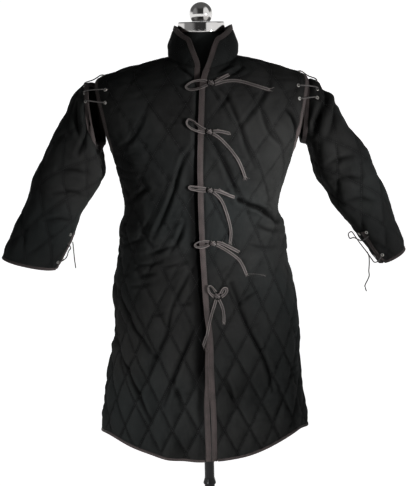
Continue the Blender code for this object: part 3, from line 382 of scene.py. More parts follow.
# The dress form: how deep it lies under the cloth, level by level, then its neck as radius and z.
FORM_INSETS = [
    (5.4, 0.034), (6.5, 0.027), (8.0, 0.022), (10.0, 0.021), (11.5, 0.020), (13.0, 0.021),
    (15.0, 0.024), (17.0, 0.025), (19.0, 0.024), (20.0, 0.022), (21.0, 0.0205), (22.0, 0.0175),
]
FORM_SHOULDERS = (23.5, 24.0, 24.6, 25.3, 26.0, 26.6)
FORM_NECK = [(0.0580, 1.4300), (0.0500, 1.4420), (0.0475, 1.4600), (0.0470, 1.4850), (0.0455, 1.4870)]
FORM_BOTTOM = 0.800

FORM_UNDERSIDE = ((0.86, 0.0), (0.915, 0.0006), (0.94, 0.003), (0.952, 0.008))
FORM_HALF_WIDTH = 0.205
NECK_X = 0.002
CAP_TOP = 1.5120
BALL_RADIUS = 0.0260
BALL_Z = 1.5288

CELL = 0.0032
WALL = 0.0065
TAPE = 0.0012


# Surfaces of the coat, each from its levels and the angle round it: 0 is the wearer's left side
# and 90 degrees the front.


def coat_settings():
    return bpy.context.scene.gambeson_coat


def smooth_rows(rows, level):
    """The table's numbers at each level, on a smooth curve through its rows."""
    table = np.array(rows, float)
    level = np.clip(np.asarray(level, float), 0, len(table) - 1)
    low = np.minimum(level.astype(int), len(table) - 2)
    t = (level - low)[..., None]
    ends = np.vstack([2 * table[0] - table[1], table, 2 * table[-1] - table[-2]])
    a, b, c, d = (ends[low + step] for step in range(4))
    return b + t / 2 * (c - a + t * (2 * a - 5 * b + 4 * c - d + t * (3 * (b - c) + d - a)))


def row_at(rows, level):
    """The fields of the table at each level, on the smooth curve."""
    return type(rows[0])(*np.moveaxis(smooth_rows(rows, level), -1, 0))


def row_by_z(rows, z):
    """The fields of the table at each height, straight from row to row."""
    table = np.array(rows, float)
    return type(rows[0])(*(np.interp(z, table[:, 0], column) for column in table.T))


def ring_place(side_z, front_z, back_z, centre_x, half_width, front_depth, back_depth, power, angle):
    across, along = np.cos(angle), np.sin(angle)
    reach = (np.abs(across) ** power + np.abs(along) ** power) ** (-1 / power)
    depth = np.where(along > 0, front_depth, back_depth)
    end_z = np.where(along > 0, front_z, back_z)
    x = centre_x + half_width * reach * across
    return np.stack([x, -depth * reach * along, side_z + (end_z - side_z) * along**2], -1)


def torso_base(level, angle):
    """The body without its folds: between front and side the hem rises a little."""
    level, angle = np.broadcast_arrays(level, angle)
    places = ring_place(*row_at(TORSO, level)[:-1], angle)
    lower = np.maximum(1 - level / HEM_RISE_LEVELS, 0) ** 2
    places[..., 2] += HEM_RISE * lower * (np.sin(2 * angle) * np.cos(angle)) ** 2
    return places


def collar_base(level, angle):
    level, angle = np.broadcast_arrays(level, angle)
    return ring_place(*row_at(COLLAR, level)[:-3], COLLAR_POWER, angle)


def sleeve_base(side, level, angle):
    """A sleeve, with its head inside the armhole at level -1."""
    level, angle = np.broadcast_arrays(level, angle)
    row = row_at([SLEEVE_HEADS[side], *SLEEVES[side]], level + 1)
    outer = np.stack([row.outer_x, row.centre_y, row.outer_z], -1)
    inner = np.stack([row.inner_x, row.centre_y, row.inner_z], -1)
    across, along = np.cos(angle), np.sin(angle)
    reach = (np.abs(across) ** SLEEVE_POWER + np.abs(along) ** SLEEVE_POWER) ** (-1 / SLEEVE_POWER)
    middle = (outer + inner) / 2
    place = middle + (outer - middle) * (across * reach)[..., None]
    place[..., 1] -= row.half_depth * along * reach
    return place


def unit(vectors):
    length = np.linalg.norm(vectors, axis=-1, keepdims=True)
    return vectors / np.maximum(length, 1e-9)


def dots(first, second):
    return np.sum(first * second, axis=-1, keepdims=True)


def square_to(vectors, way):
    """The directions, turned square to those in way."""
    return unit(vectors - way * dots(vectors, way))


def grid_normals(places, middle):
    """The outward direction at each point of a grid, away from the line down its middle."""
    rise = np.gradient(places, axis=0)
    turn = np.gradient(places, axis=1)
    normals = unit(np.cross(rise, turn))
    outward = np.sum(normals * (places - middle)) > 0
    return normals if outward else -normals


def arc_lengths(places):
    """How far along a line each of its places is, or along each column of a grid."""
    steps = np.linalg.norm(np.diff(places, axis=0), axis=-1)
    return np.concatenate([0 * steps[:1], np.cumsum(steps, axis=0)])


def smooth_step(value):
    value = np.clip(value, 0, 1)
    return value * value * (3 - 2 * value)


def within(distance, reach, fade):
    """1 up to this distance, then fading to 0."""
    return 1 - smooth_step((distance - reach) / fade)


def bell(distance, width):
    return np.exp(-((distance / width) ** 2))


def ripples(places, seed, longest, shortest, stretch=(1, 1, 1)):
    """Soft waves of about unit height, the same each time for a seed."""
    chance = np.random.default_rng(seed)
    total = np.zeros(places.shape[:-1])
    count = 14
    for _ in range(count):
        direction = unit(chance.normal(size=3)) * np.array(stretch)
        wave = chance.uniform(shortest, longest)
        total += np.sin(places @ direction * (math.tau / wave) + chance.uniform(0, math.tau))
    return total * math.sqrt(2 / count)


def smooth_route(points, spacing):
    """Places at even steps along the smooth curve through the given points."""
    points = np.array(points, float)
    level = np.linspace(0, len(points) - 1, 24 * (len(points) - 1) + 1)
    fine = smooth_rows(points, level)
    length = arc_lengths(fine)
    count = max(int(round(length[-1] / spacing)), 2)
    even = np.linspace(0, length[-1], count + 1)
    return np.stack([np.interp(even, length, column) for column in fine.T], -1)


def distance_to(places, line):
    """How far each place is from a line of points, and its share of the way along."""
    shape = places.shape[:-1]
    flat = places.reshape(-1, places.shape[-1])
    best = np.full(len(flat), 9.0)
    share = np.zeros(len(flat))
    for step, (start, end) in enumerate(zip(line, line[1:])):
        run = end - start
        t = np.clip((flat - start) @ run / max(run @ run, 1e-12), 0, 1)
        away = np.linalg.norm(flat - start - t[:, None] * run, axis=-1)
        nearer = away < best
        best = np.where(nearer, away, best)
        share = np.where(nearer, (step + t) / (len(line) - 1), share)
    return best.reshape(shape), share.reshape(shape)


def crease_relief(places, side):
    """How far the creases push the cloth in or out: a trough with a soft swell along both sides."""
    relief = np.zeros(places.shape[:-1])
    gain = coat_settings().crease_depth * MM
    flat = places[..., [0, 2]]
    facing = places[..., 1] < 0.02 if side == "front" else places[..., 1] > -0.02
    for depth, width, *route in CREASES[side]:
        line = smooth_route(np.array(route) * MM, 0.006)
        width = 0.85 * width * MM
        margin = 5 * width
        near = facing & np.all((flat > line.min(0) - margin) & (flat < line.max(0) + margin), -1)
        if not near.any():
            continue
        away, share = distance_to(flat[near], line)
        fade = np.sin(math.pi * (0.10 + 0.80 * share)) ** 0.7
        trough = np.exp(-((away / width) ** 1.35))
        swell = np.exp(-(((away - 2.4 * width) / (1.3 * width)) ** 2))
        relief[near] += depth * gain * fade * (0.42 * swell - trough)
    return relief


def wrinkles(places, seed):
    """Fine lines pressed into the cloth, mostly level, in patches: from -0.5 in a line to 0.5."""
    wave = ripples(places, seed, 0.060, 0.028, (0.45, 0.45, 1))
    patch = smooth_step(0.55 + 0.45 * ripples(places, seed + 1, 0.24, 0.12))
    return (np.minimum(np.abs(wave), 1.0) - 0.5) * patch


def hollow_share(creases):
    """How deep in a crease each place lies, from 0 to 1."""
    return np.clip(-creases / 0.0045, 0, 1)


def quilt_place(across, up, quilt):
    """Where a place lies between the quilting's two families of lines, which run on whole numbers."""
    place = (across - quilt.centre) / quilt.width
    return place + up, place - up


def pillow(first, second):
    """The height of the stuffed diamonds, from 0 on a line of quilting to 1 in the middle."""
    height = 1.0
    for place in (first, second):
        near = 2 * np.abs(place - np.round(place))
        height = height * (1 - (1 - near) ** 2.7)
    return height


def seam_nearness(first, second, reach=0.080):
    near = np.minimum(np.abs(first - np.round(first)), np.abs(second - np.round(second)))
    return 1 - smooth_step(near / reach)


# fold is each point's share of painted shade, in its creases and hollows.
Panel = namedtuple("Panel", "name normal outer inner across up first second joined fold")


def body_levels():
    """The levels of the body's fine rows: even steps, and closer where the armhole turns."""
    level = np.linspace(0, len(TORSO) - 1, 1401)
    side = arc_lengths(torso_base(level, 0.0))
    front = arc_lengths(torso_base(level, math.pi / 2))
    length = np.cumsum(np.concatenate([[0], np.maximum(np.diff(side), np.diff(front))]))
    rows = np.interp(np.linspace(0, length[-1], round(length[-1] / CELL) + 1), length, level)
    rows = rows[np.min(np.abs(rows[:, None] - np.array(ARMHOLE_TURNS)), axis=1) > 0.04]
    rows = np.unique(np.concatenate([rows, ARMHOLE_TURNS]))
    rows[0] = 0
    if len(rows) % 2 == 0:
        rows = np.sort(np.append(rows, (rows[4] + rows[5]) / 2))
    return rows


def armhole_opening(level):
    """How far the armhole's edge stands from the side seam, rounded at its two ends."""
    wide = np.array([row.armhole for row in TORSO]) ** 2
    return np.maximum(np.sqrt(np.interp(level, np.arange(len(wide)), wide)), SEAM_GAP / 2)


def body_panel(name):
    """One panel of the body as a fine grid, from its side seam towards the other edge."""
    levels = body_levels()
    closure = row_by_z(CLOSURE, row_at(TORSO, levels).front_z)
    turn = np.linspace(0, math.pi, 1201)
    quarter = len(turn) // 2
    face = -1 if name == "back" else 1
    columns = 208 if name == "back" else 104
    places, across, edge_away = [], [], []
    for level, opening, edge, under in zip(
        levels, armhole_opening(levels), closure.edge_x, closure.under_reach
    ):
        ring = torso_base(level, turn * face)
        length = arc_lengths(ring)
        start = np.interp(opening, np.abs(ring[:quarter, 1]), length[:quarter])
        end = length[-1] - start
        if name == "front_left":
            end = np.interp(-edge, -ring[:, 0], length)
        elif name == "front_right":
            start, end = end, np.interp(-edge - under, -ring[:, 0], length)
        target = np.linspace(start, end, columns + 1)
        places.append(torso_base(level, np.interp(target, length, turn) * face))
        across.append(np.interp(0, -ring[:, 0], length) - target)
        edge_away.append(np.abs(target - target[-1]))
    base, across, edge_away = np.array(places), np.array(across), np.array(edge_away)
    normal = grid_normals(base, base * [0, 0, 1])
    z = base[..., 2]
    quilt = row_by_z(QUILT, z)
    first, second = quilt_place(across, (z - QUILT_Z) / QUILT_HEIGHT, quilt)

    hem_away = arc_lengths(base)
    neck_away = hem_away[-1] - hem_away
    seam_away = np.abs(base[..., 1])
    hole_away = armhole_distance(base)
    calm = smooth_step(hem_away / 0.028) * smooth_step(neck_away / 0.022)
    calm = calm * smooth_step(hole_away / 0.026) * smooth_step((seam_away + 0.004) / 0.020)
    low = np.minimum(smooth_step(neck_away / 0.03), smooth_step(hole_away / 0.03))
    press = 0.0011 * within(hem_away, 0.006, 0.004) + 0.0013 * within(hole_away, 0.009, 0.005)
    press = press + 0.0022 * bell(seam_away, 0.004) * (hole_away > 0.012)
    press = press + 0.0010 * bell(neck_away, 0.005)

    uneven = 1 + 0.22 * ripples(base, 5, 0.16, 0.07)
    fullness = quilt.puff * np.interp(z, *PANEL_FULLNESS[name])
    puff = coat_settings().puff * fullness * uneven * (pillow(first, second) - 0.45)
    swell = 0.0016 * ripples(base, 8, 0.30, 0.13, (1, 1, 0.45))
    pucker = 0.00042 * ripples(base, 12, 0.020, 0.011) * seam_nearness(first, second, 0.22)
    small = 0.00030 * ripples(base, 17, 0.034, 0.018)
    pressed = np.interp(z, [0.55, 0.90, 1.00, 1.15, 1.25], [0.7, 0.8, 1.4, 1.3, 0.7])
    small = small + 0.0021 * pressed * wrinkles(base, 21)
    angle = np.arctan2(-base[..., 1], base[..., 0])
    hang = 0.0030 * np.sin(9 * angle + 2.2 * np.sin(3 * angle) + z * 2.0)
    soft = (swell + hang * np.interp(z, [0.55, 0.9, 1.0], [1.0, 0.35, 0.0])) * (0.35 + 0.65 * low)
    if name != "back":
        calm = calm * smooth_step(edge_away / 0.034)
        press = press + 0.0013 * within(edge_away, 0.011, 0.005)
        soft = soft * (0.30 + 0.70 * smooth_step(edge_away / 0.07))
    creases = crease_relief(base, "back" if name == "back" else "front")
    relief = soft + creases * (0.30 + 0.70 * calm) + (puff + pucker + small) * calm - press
    dip, trench = np.zeros(z.shape), np.zeros(z.shape)
    if name == "front_right":
        dip = UNDER_DIP * closure.sink[:, None] * within(edge_away, 0.012, 0.018)
        # The trench beside the outer front's tape is pressed in and also painted dark as shade.
        trench = within(edge_away, 0.024, 0.022) * smooth_step((z - 0.66) / 0.08)
        trench = trench * smooth_step((1.25 - z) / 0.10)
    outer = base + normal * (relief - 0.0024 * trench - dip)[..., None]
    lined = (soft + np.minimum(creases, 0) * 0.6) * smooth_step((1.36 - z) / 0.06)
    lining = base + normal * (lined - WALL - dip)[..., None]
    # fold: each point's share of painted shade, from the creases' hollows and the trench.
    fold = np.maximum(hollow_share(creases), trench)
    return Panel(name, normal, outer, lining, across, z, first, second, 0, fold)


def loop_of_armhole(mirror):
    """The armhole's edge, round from its lowest point."""
    levels = body_levels()
    levels = levels[(levels >= ARMHOLE_BOTTOM) & (levels <= SHOULDER_TIP)]
    quarter = np.linspace(0, math.pi / 2, 601)
    loop = []
    for face, order in ((1, levels), (-1, levels[::-1])):
        for level in order:
            ring = torso_base(level, quarter * face)
            angle = np.interp(armhole_opening(level), np.abs(ring[:, 1]), quarter) * face
            loop.append((level, angle if mirror > 0 else math.pi - angle))
    places = torso_base(*np.array(loop).T)
    closed = np.vstack([places, places[:1]])
    length = arc_lengths(closed)
    even = np.linspace(0, length[-1], int(length[-1] / 0.004) + 1)[:-1]
    return np.stack([np.interp(even, length, column) for column in closed.T], -1)


def armhole_distance(base):
    """How far each place of the body is from the nearer armhole's edge, where it is near."""
    hole_away = np.full(base.shape[:-1], 9.0)
    for mirror in (1, -1):
        near = (base[..., 2] > 1.18) & (base[..., 0] * mirror > 0.12)
        if near.any():
            loop = loop_of_armhole(mirror)[::2]
            found, _ = distance_to(base[near], np.vstack([loop, loop[:1]]))
            hole_away[near] = np.minimum(hole_away[near], found)
    return hole_away


def sleeve_panel(side):
    """A sleeve as a grid from its head to its cuff, round from one side of the slit to the other."""
    level = np.linspace(0, len(SLEEVES[side]) - 1, 801)
    length = arc_lengths(sleeve_base(side, level, 0.0)) + arc_lengths(sleeve_base(side, level, math.pi))
    length = length / 2
    slit_top = np.interp(SLIT_TOP_LEVEL, level, length)
    above = 2 * round(slit_top / CELL / 2)
    below = 2 * round((length[-1] - slit_top) / CELL / 2)
    along = np.linspace(0, slit_top, above + 1)
    along = np.concatenate([along, np.linspace(slit_top, length[-1], below + 1)[1:]])
    columns = 136
    turn = np.linspace(0, math.tau, 1201) + SLIT_ANGLE[side]
    places, across = [], []
    for row, (place, distance) in enumerate(zip(np.interp(along, length, level), along)):
        around = arc_lengths(sleeve_base(side, place, turn))
        share = max(distance - slit_top, 0) / (length[-1] - slit_top)
        gap = (0.0008 + share * SLIT_MOUTH) / 2 if row > above else 0.0
        target = np.linspace(gap, around[-1] - gap, columns + 1)
        angle = np.interp(target, around, turn)
        # The head reaches into the armhole; the right one only behind, where it has slipped out.
        tucked = 1.0 if side == "left" else smooth_step((0.25 - np.sin(angle)) / 0.7)
        places.append(sleeve_base(side, place - tucked * (1 - smooth_step(place / 2.5)), angle))
        across.append(target - around[-1] / 2)
    base, across = np.array(places), np.array(across)
    wide = np.concatenate([base[:, -2:-1], base, base[:, 1:2]], axis=1)
    normal = grid_normals(wide, base[:, :-1].mean(1)[:, None])[:, 1:-1]
    down = np.repeat(along[:, None], columns + 1, axis=1)
    wave = 6 * across / (-2 * across[:, :1])
    first, second = wave + down / 0.108 + 0.15, wave - down / 0.108 - 0.15
    seed = 31 if side == "left" else 47
    cuff_away = along[-1] - down
    slit_away, _ = distance_to(base, np.array([base[above, 0], base[-1, 0]]))
    calm = smooth_step(down / 0.020) * smooth_step(cuff_away / 0.022)
    calm = calm * smooth_step(slit_away / 0.020)
    puff = coat_settings().puff * 0.55 * (1 + 0.25 * ripples(base, seed, 0.12, 0.06))
    puff = puff * (pillow(first, second) - 0.45)
    swell = 0.0022 * ripples(base, seed + 1, 0.20, 0.09)
    small = 0.00035 * ripples(base, seed + 2, 0.034, 0.018) + 0.0012 * wrinkles(base, seed + 6)
    pucker = 0.0004 * ripples(base, seed + 3, 0.020, 0.011) * seam_nearness(first, second, 0.22)
    creases = crease_relief(base, "front") + crease_relief(base, "back")
    press = 0.0012 * within(cuff_away, 0.006, 0.004) + 0.0012 * within(down, 0.008, 0.004)
    press = press + 0.0010 * within(slit_away, 0.006, 0.004)
    soft = swell * (0.25 + 0.75 * calm)
    relief = soft + creases * (0.2 + 0.8 * calm) + (puff + small + pucker) * calm - press
    outer = base + normal * relief[..., None]
    lining = base + normal * (soft + np.minimum(creases, 0) * 0.6 * calm - WALL)[..., None]
    # The share of painted shade in the creases' hollows.
    fold = hollow_share(creases)
    name = f"sleeve_{side}"
    return Panel(name, normal, outer, lining, across, down, first, second, above + 1, fold)


def collar_panel():
    """The standing collar, from its left front edge round the neck to its right one."""
    level = np.linspace(0, len(COLLAR) - 1, 401)
    rise = arc_lengths(collar_base(level, math.pi / 2))
    high, columns = np.linspace(0, rise[-1], 23), 150
    levels = np.interp(high, rise, level)
    turn = np.linspace(0, math.pi, 901)
    rows = row_at(COLLAR, levels)
    places, across = [], []
    for place, left_x, right_x in zip(levels, rows.left_edge_x, rows.right_edge_x):
        ring = collar_base(place, turn)
        left, right = (np.interp(-x, -ring[:, 0], turn) for x in (left_x, right_x))
        around = np.linspace(left, right - math.tau, 1201)
        length = arc_lengths(collar_base(place, around))
        target = np.linspace(0, length[-1], columns + 1)
        places.append(collar_base(place, np.interp(target, length, around)))
        across.append(target - length[-1] / 2)
    base, across = np.array(places), np.array(across)
    normal = grid_normals(base, base * [0, 0, 1])
    high = np.repeat(high[:, None], columns + 1, axis=1)
    first, second = across / 0.052 + high / 0.085 + 0.2, across / 0.052 - high / 0.085 - 0.2
    end_away = across[:, -1:] - np.abs(across)
    top_away = rise[-1] - high
    calm = smooth_step(high / 0.012) * smooth_step(top_away / 0.016) * smooth_step(end_away / 0.022)
    puff = coat_settings().puff * 0.32 * (pillow(first, second) - 0.45)
    swell = 0.0013 * ripples(base, 61, 0.12, 0.05)
    small = 0.00025 * ripples(base, 62, 0.030, 0.016)
    press = 0.0012 * within(np.minimum(top_away, end_away), 0.007, 0.004)
    press = press + 0.0008 * bell(high, 0.005)
    soft = swell * (0.3 + 0.7 * calm)
    outer = base + normal * (soft + (puff + small) * calm - press)[..., None]
    lining = base + normal * (soft - np.minimum(rows.wall, WALL)[:, None])[..., None]
    fold = np.zeros(high.shape)
    return Panel("collar", normal, outer, lining, across, high, first, second, 0, fold)


@cache
def panels():
    """Every panel of the coat, worked out once."""
    made = {name: body_panel(name) for name in ("front_left", "front_right", "back")}
    made["collar"] = collar_panel()
    for side in SIDES:
        made[f"sleeve_{side}"] = sleeve_panel(side)
    return made


# Meshes


def grid_faces(index):
    """The faces between neighbouring rows and columns of a grid of point numbers."""
    corners = [index[:-1, :-1], index[:-1, 1:], index[1:, 1:], index[1:, :-1]]
    return np.stack(corners, -1).reshape(-1, 4).tolist()


def joined_parts(parts):
    """The points and faces of several parts as one."""
    points, faces = [], []
    for part in parts:
        start = len(points)
        points += [tuple(point) for point in part[0]]
        faces += [tuple(corner + start for corner in face) for face in part[1]]
    return points, faces


def linked_object(name, data):
    made = bpy.data.objects.new(name, data)
    bpy.context.scene.collection.objects.link(made)
    return made


def solid(name, parts, finish, smooth=40):
    """A closed mesh object from parts of (points, faces, uv), with its faces turned out."""
    points, faces = joined_parts(parts)
    mesh = bpy.data.meshes.new(name)
    mesh.from_pydata(points, [], faces)
    uv = [part[2] for part in parts if len(part) > 2]
    if uv:
        layer = mesh.uv_layers.new(name="UVMap")
        layer.data.foreach_set("uv", np.concatenate(uv).astype(np.float32).ravel())
    mesh.calc_loop_triangles()
    corners = np.empty(len(mesh.loop_triangles) * 3, np.int32)
    mesh.loop_triangles.foreach_get("vertices", corners)
    places = np.array(points)[corners.reshape(-1, 3)]
    if np.einsum("ij,ij->i", places[:, 0], np.cross(places[:, 1], places[:, 2])).sum() < 0:
        mesh.flip_normals()
    mesh.shade_smooth()
    mesh.set_sharp_from_angle(angle=math.radians(smooth))
    mesh.materials.append(finish_of(finish))
    return linked_object(name, mesh)


def outward(points, faces, uv):
    """The same part with its faces turned to point out."""
    total = sum(
        np.dot(points[face[0]], np.cross(points[b], points[c]))
        for face in faces
        for b, c in zip(face[1:], face[2:])
    )
    if total > 0:
        return points, faces, uv
    turned, start = [], 0
    for face in faces:
        turned += uv[start : start + len(face)][::-1]
        start += len(face)
    return points, [face[::-1] for face in faces], turned


def shell(panel):
    """The wall between a panel's fine outer face and a lining of every second point."""
    lining = panel.inner[::2, ::2]
    o = np.arange(panel.outer[..., 0].size).reshape(panel.outer.shape[:2])
    i = np.arange(lining[..., 0].size).reshape(lining.shape[:2]) + o.size
    faces = grid_faces(o) + grid_faces(i.T)
    joined = max(panel.joined - 1, 0)
    o_open, i_open = o[joined:], i[joined // 2 :]
    # Round the rim, each edge of the lining goes with two edges of the outer face.
    for fine, coarse in (
        (o[0], i[0]),
        (o[-1, ::-1], i[-1, ::-1]),
        (o_open[::-1, 0], i_open[::-1, 0]),
        (o_open[:, -1], i_open[:, -1]),
    ):
        for k in range(len(coarse) - 1):
            a, b, c = fine[2 * k : 2 * k + 3]
            faces.append((c, b, a, coarse[k], coarse[k + 1]))
    points = np.vstack([panel.outer.reshape(-1, 3), lining.reshape(-1, 3)])
    place = np.arange(len(points))
    if joined:
        place[o[: joined + 1, -1]] = o[: joined + 1, 0]
        place[i[: joined // 2 + 1, -1]] = i[: joined // 2 + 1, 0]
    corners = np.concatenate(faces)
    uv = [np.append(part.ravel(), part[::2, ::2].ravel())[corners] for part in (panel.across, panel.up)]
    used, index = np.unique(place[corners], return_inverse=True)
    ends = np.cumsum([len(face) for face in faces])
    faces = [tuple(face.tolist()) for face in np.split(index, ends[:-1])]
    # Painted shade: how dark each point is painted, from the quilting's seams, less so higher up, and
    # from the panel's creases and trench.
    seam_shade_strength = np.interp(panel.outer[..., 2], [0.72, 0.98], [1.0, 0.62])
    near = np.maximum(seam_shade_strength * seam_nearness(panel.first, panel.second), panel.fold)
    near = np.append(near.ravel(), np.zeros(i.size))
    return (points[used], faces, np.stack(uv, -1)), near[used]


def sweep(sections, uv_along, closed=False):
    """A closed solid through a row of closed sections, with filled ends unless it runs round."""
    rows, size = sections.shape[:2]
    girth = arc_lengths(np.vstack([sections[0], sections[0, :1]]))
    along = np.append(uv_along, 2 * uv_along[-1] - uv_along[-2])
    faces, uv = [], []
    for row in range(rows if closed else rows - 1):
        low, high = row * size, (row + 1) % rows * size
        for corner in range(size):
            turn = (corner + 1) % size
            faces.append((low + corner, low + turn, high + turn, high + corner))
            near, far = girth[corner], girth[corner + 1]
            uv += [(near, along[row]), (far, along[row])]
            uv += [(far, along[row + 1]), (near, along[row + 1])]
    if not closed:
        faces += [tuple(range(size))[::-1], tuple(range((rows - 1) * size, rows * size))]
        uv += [(0.0, along[0])] * size + [(0.0, along[rows - 1])] * size
    return outward(sections.reshape(-1, 3), faces, uv)


def along_and_sides(places, closed=False):
    """The direction of a line of places at each of them."""
    if closed:
        return unit(np.roll(places, -1, 0) - np.roll(places, 1, 0))
    return unit(np.gradient(places, axis=0))


def tube(places, radius, sides=8, tip=True):
    """A round tube along a line of places, rounded off at its two ends."""
    places = np.asarray(places, float)
    radii = np.full(len(places), float(radius))
    if tip:
        way = along_and_sides(places)
        first, last = places[0] - way[0] * radius * 0.5, places[-1] + way[-1] * radius * 0.5
        places = np.vstack([first, places, last])
        radii = np.pad(radii, 1, constant_values=radius * 0.5)
    way = along_and_sides(places)
    side = unit(np.cross(way[0], [0.31, 0.17, 0.93]))
    turn = np.linspace(0, math.tau, sides, endpoint=False)
    sections = []
    for place, direction, size in zip(places, way, radii):
        side = unit(side - direction * np.dot(side, direction))
        other = np.cross(direction, side)
        ring = np.cos(turn)[:, None] * side + np.sin(turn)[:, None] * other
        sections.append(place + ring * size)
    return sweep(np.array(sections), arc_lengths(places))


# A ribbon's section: two stitched edges stand up along a flat middle.
RIBBON = [
    (-1.00, 0.00), (-0.96, 0.55), (-0.74, 0.72), (-0.48, 0.36), (0.00, 0.26), (0.48, 0.36),
    (0.74, 0.72), (0.96, 0.55), (1.00, 0.00), (0.92, -0.45), (0.00, -0.30), (-0.92, -0.45),
]


def ribbon(places, facing, width, thickness=0.0013, closed=False, along=None):
    """A flat woven tie along a line of places, its face turned to the directions in facing."""
    way = along_and_sides(places, closed)
    facing = square_to(facing, way)
    side = np.cross(way, facing)
    wide, high = np.array(RIBBON).T[..., None]
    sections = places[:, None] + wide * width / 2 * side[:, None] + high * thickness * facing[:, None]
    return sweep(sections, arc_lengths(places) if along is None else along, closed)


def surface_tree(parts):
    return BVHTree.FromPolygons(*joined_parts(parts))


def filled(values):
    """The values with each gap, a nan, filled in from its two sides."""
    known = np.isfinite(values)
    if not known.any():
        return np.zeros(len(values))
    index = np.arange(len(values))
    return np.interp(index, index[known], values[known])


def evened(values):
    """The values, each evened out with its two neighbours."""
    return np.convolve(np.pad(values, 1, mode="edge"), [0.25, 0.5, 0.25], "valid")


def outer_faces(panel):
    rows, columns = panel.outer.shape[:2]
    return panel.outer.reshape(-1, 3), grid_faces(np.arange(rows * columns).reshape(rows, columns))


@cache
def tree_of(*names):
    """The named panels' outer faces as a tree to lay something on."""
    return surface_tree(outer_faces(panels()[name]) for name in names)


def height_over(tree, places, directions, reach=0.02):
    """How far the cloth stands out of each place along its direction."""
    heights = []
    for place, direction in zip(places, directions):
        hit = tree.ray_cast(Vector(place + direction * reach), Vector(-direction), 2 * reach)
        heights.append(reach - hit[3] if hit[0] else np.nan)
    return filled(np.array(heights))


def even_line(places, step, *others, closed=False):
    """The same line with even steps, and other things along it at the same shares."""
    stack = np.hstack([places, *others])
    if closed:
        stack = np.vstack([stack, stack[:1]])
    length = arc_lengths(stack[:, :3])
    even = np.linspace(0, length[-1], max(round(length[-1] / step), 3) + 1)
    found = np.stack([np.interp(even, length, column) for column in stack.T], -1)
    return found[:-1] if closed else found


# How high an edge tape stands over the cloth from its inner edge to its fold, in thicknesses.
BINDING_RISES = (0.15, 0.80, 0.95, 0.62, 1.0, 1.12, 1.1, 1.0)


def edge_binding(tree, edge, normal, inward, width, wall=WALL, closed=False, inner_width=0.009):
    """A folded tape round an edge of the cloth, following its outer face."""
    line = even_line(edge, 0.0036, normal, inward, closed=closed)
    edge, normal = line[:, :3], unit(line[:, 3:6])
    inward = square_to(unit(line[:, 6:9]), normal)
    reaches = [width - back for back in (0, 0.0004, 0.0012, 0.0020, 0.0028)]
    reaches += [width * 0.5, 0.0020, 0.0008]
    over, under = [], []
    for reach, rise in zip(reaches, BINDING_RISES):
        place = edge + inward * reach
        height = height_over(tree, place, normal)
        if not closed:
            height = evened(height)
        under.append(place + normal * (height + 0.0002)[:, None])
        over.append(place + normal * (height + 0.0002 + rise * TAPE)[:, None])
    lip, deep = over[-1], edge - normal * wall
    fold = [(lip, -0.7 * TAPE - 0.0008, 0.4 * TAPE), (lip, -TAPE - 0.0008, -0.4 * TAPE)]
    fold += [(deep, -TAPE, 0.4 * TAPE), (deep, -0.6 * TAPE, -0.7 * TAPE)]
    fold += [(deep, 0.001, -1.15 * TAPE), (deep, inner_width - 0.0006, -1.05 * TAPE)]
    fold += [(deep, inner_width, -0.3 * TAPE), (deep, inner_width, -0.0002)]
    fold += [(deep, -0.0002, -0.0002), (edge, -0.0002, -0.0008)]
    round_edge = [start + inward * way + normal * rise for start, way, rise in fold]
    sections = np.stack([*over, *round_edge, under[-1], under[5], under[2]], 1)
    stitches = [over[3], over[6]] if width > 0.008 else [over[3]]
    return sweep(sections, arc_lengths(edge), closed), stitches


def edge_frame(panel, which, ends=slice(None)):
    """The places, outward and inward directions along one edge of a panel's grid."""
    outer, normal = panel.outer, panel.normal
    if which.endswith("column"):
        outer, normal = outer.swapaxes(0, 1), normal.swapaxes(0, 1)
    if which.startswith("last"):
        outer, normal = outer[::-1], normal[::-1]
    edge, facing, inward = outer[0][ends], normal[0][ends], (outer[3] - outer[0])[ends]
    return np.array([edge, facing, square_to(inward, along_and_sides(edge))])


def armhole_frame(tree, side):
    """The same round an armhole, on the cloth nearest to its edge."""
    base = loop_of_armhole(SIDES[side])
    middle = base.mean(0)
    found = [tree.find_nearest(Vector(place)) for place in base]
    edge, facing = (np.array([hit[k] for hit in found]) for k in (0, 1))
    facing *= np.sign(dots(facing, edge - middle * [0.6, 1, 1]))
    for _ in range(12):
        facing = unit(facing + np.roll(facing, 1, 0) + np.roll(facing, -1, 0))
        edge = (edge * 2 + np.roll(edge, 1, 0) + np.roll(edge, -1, 0)) / 4
    inward = np.cross(facing, along_and_sides(edge, closed=True))
    inward *= np.sign(dots(inward, edge - middle))
    return edge, facing, inward


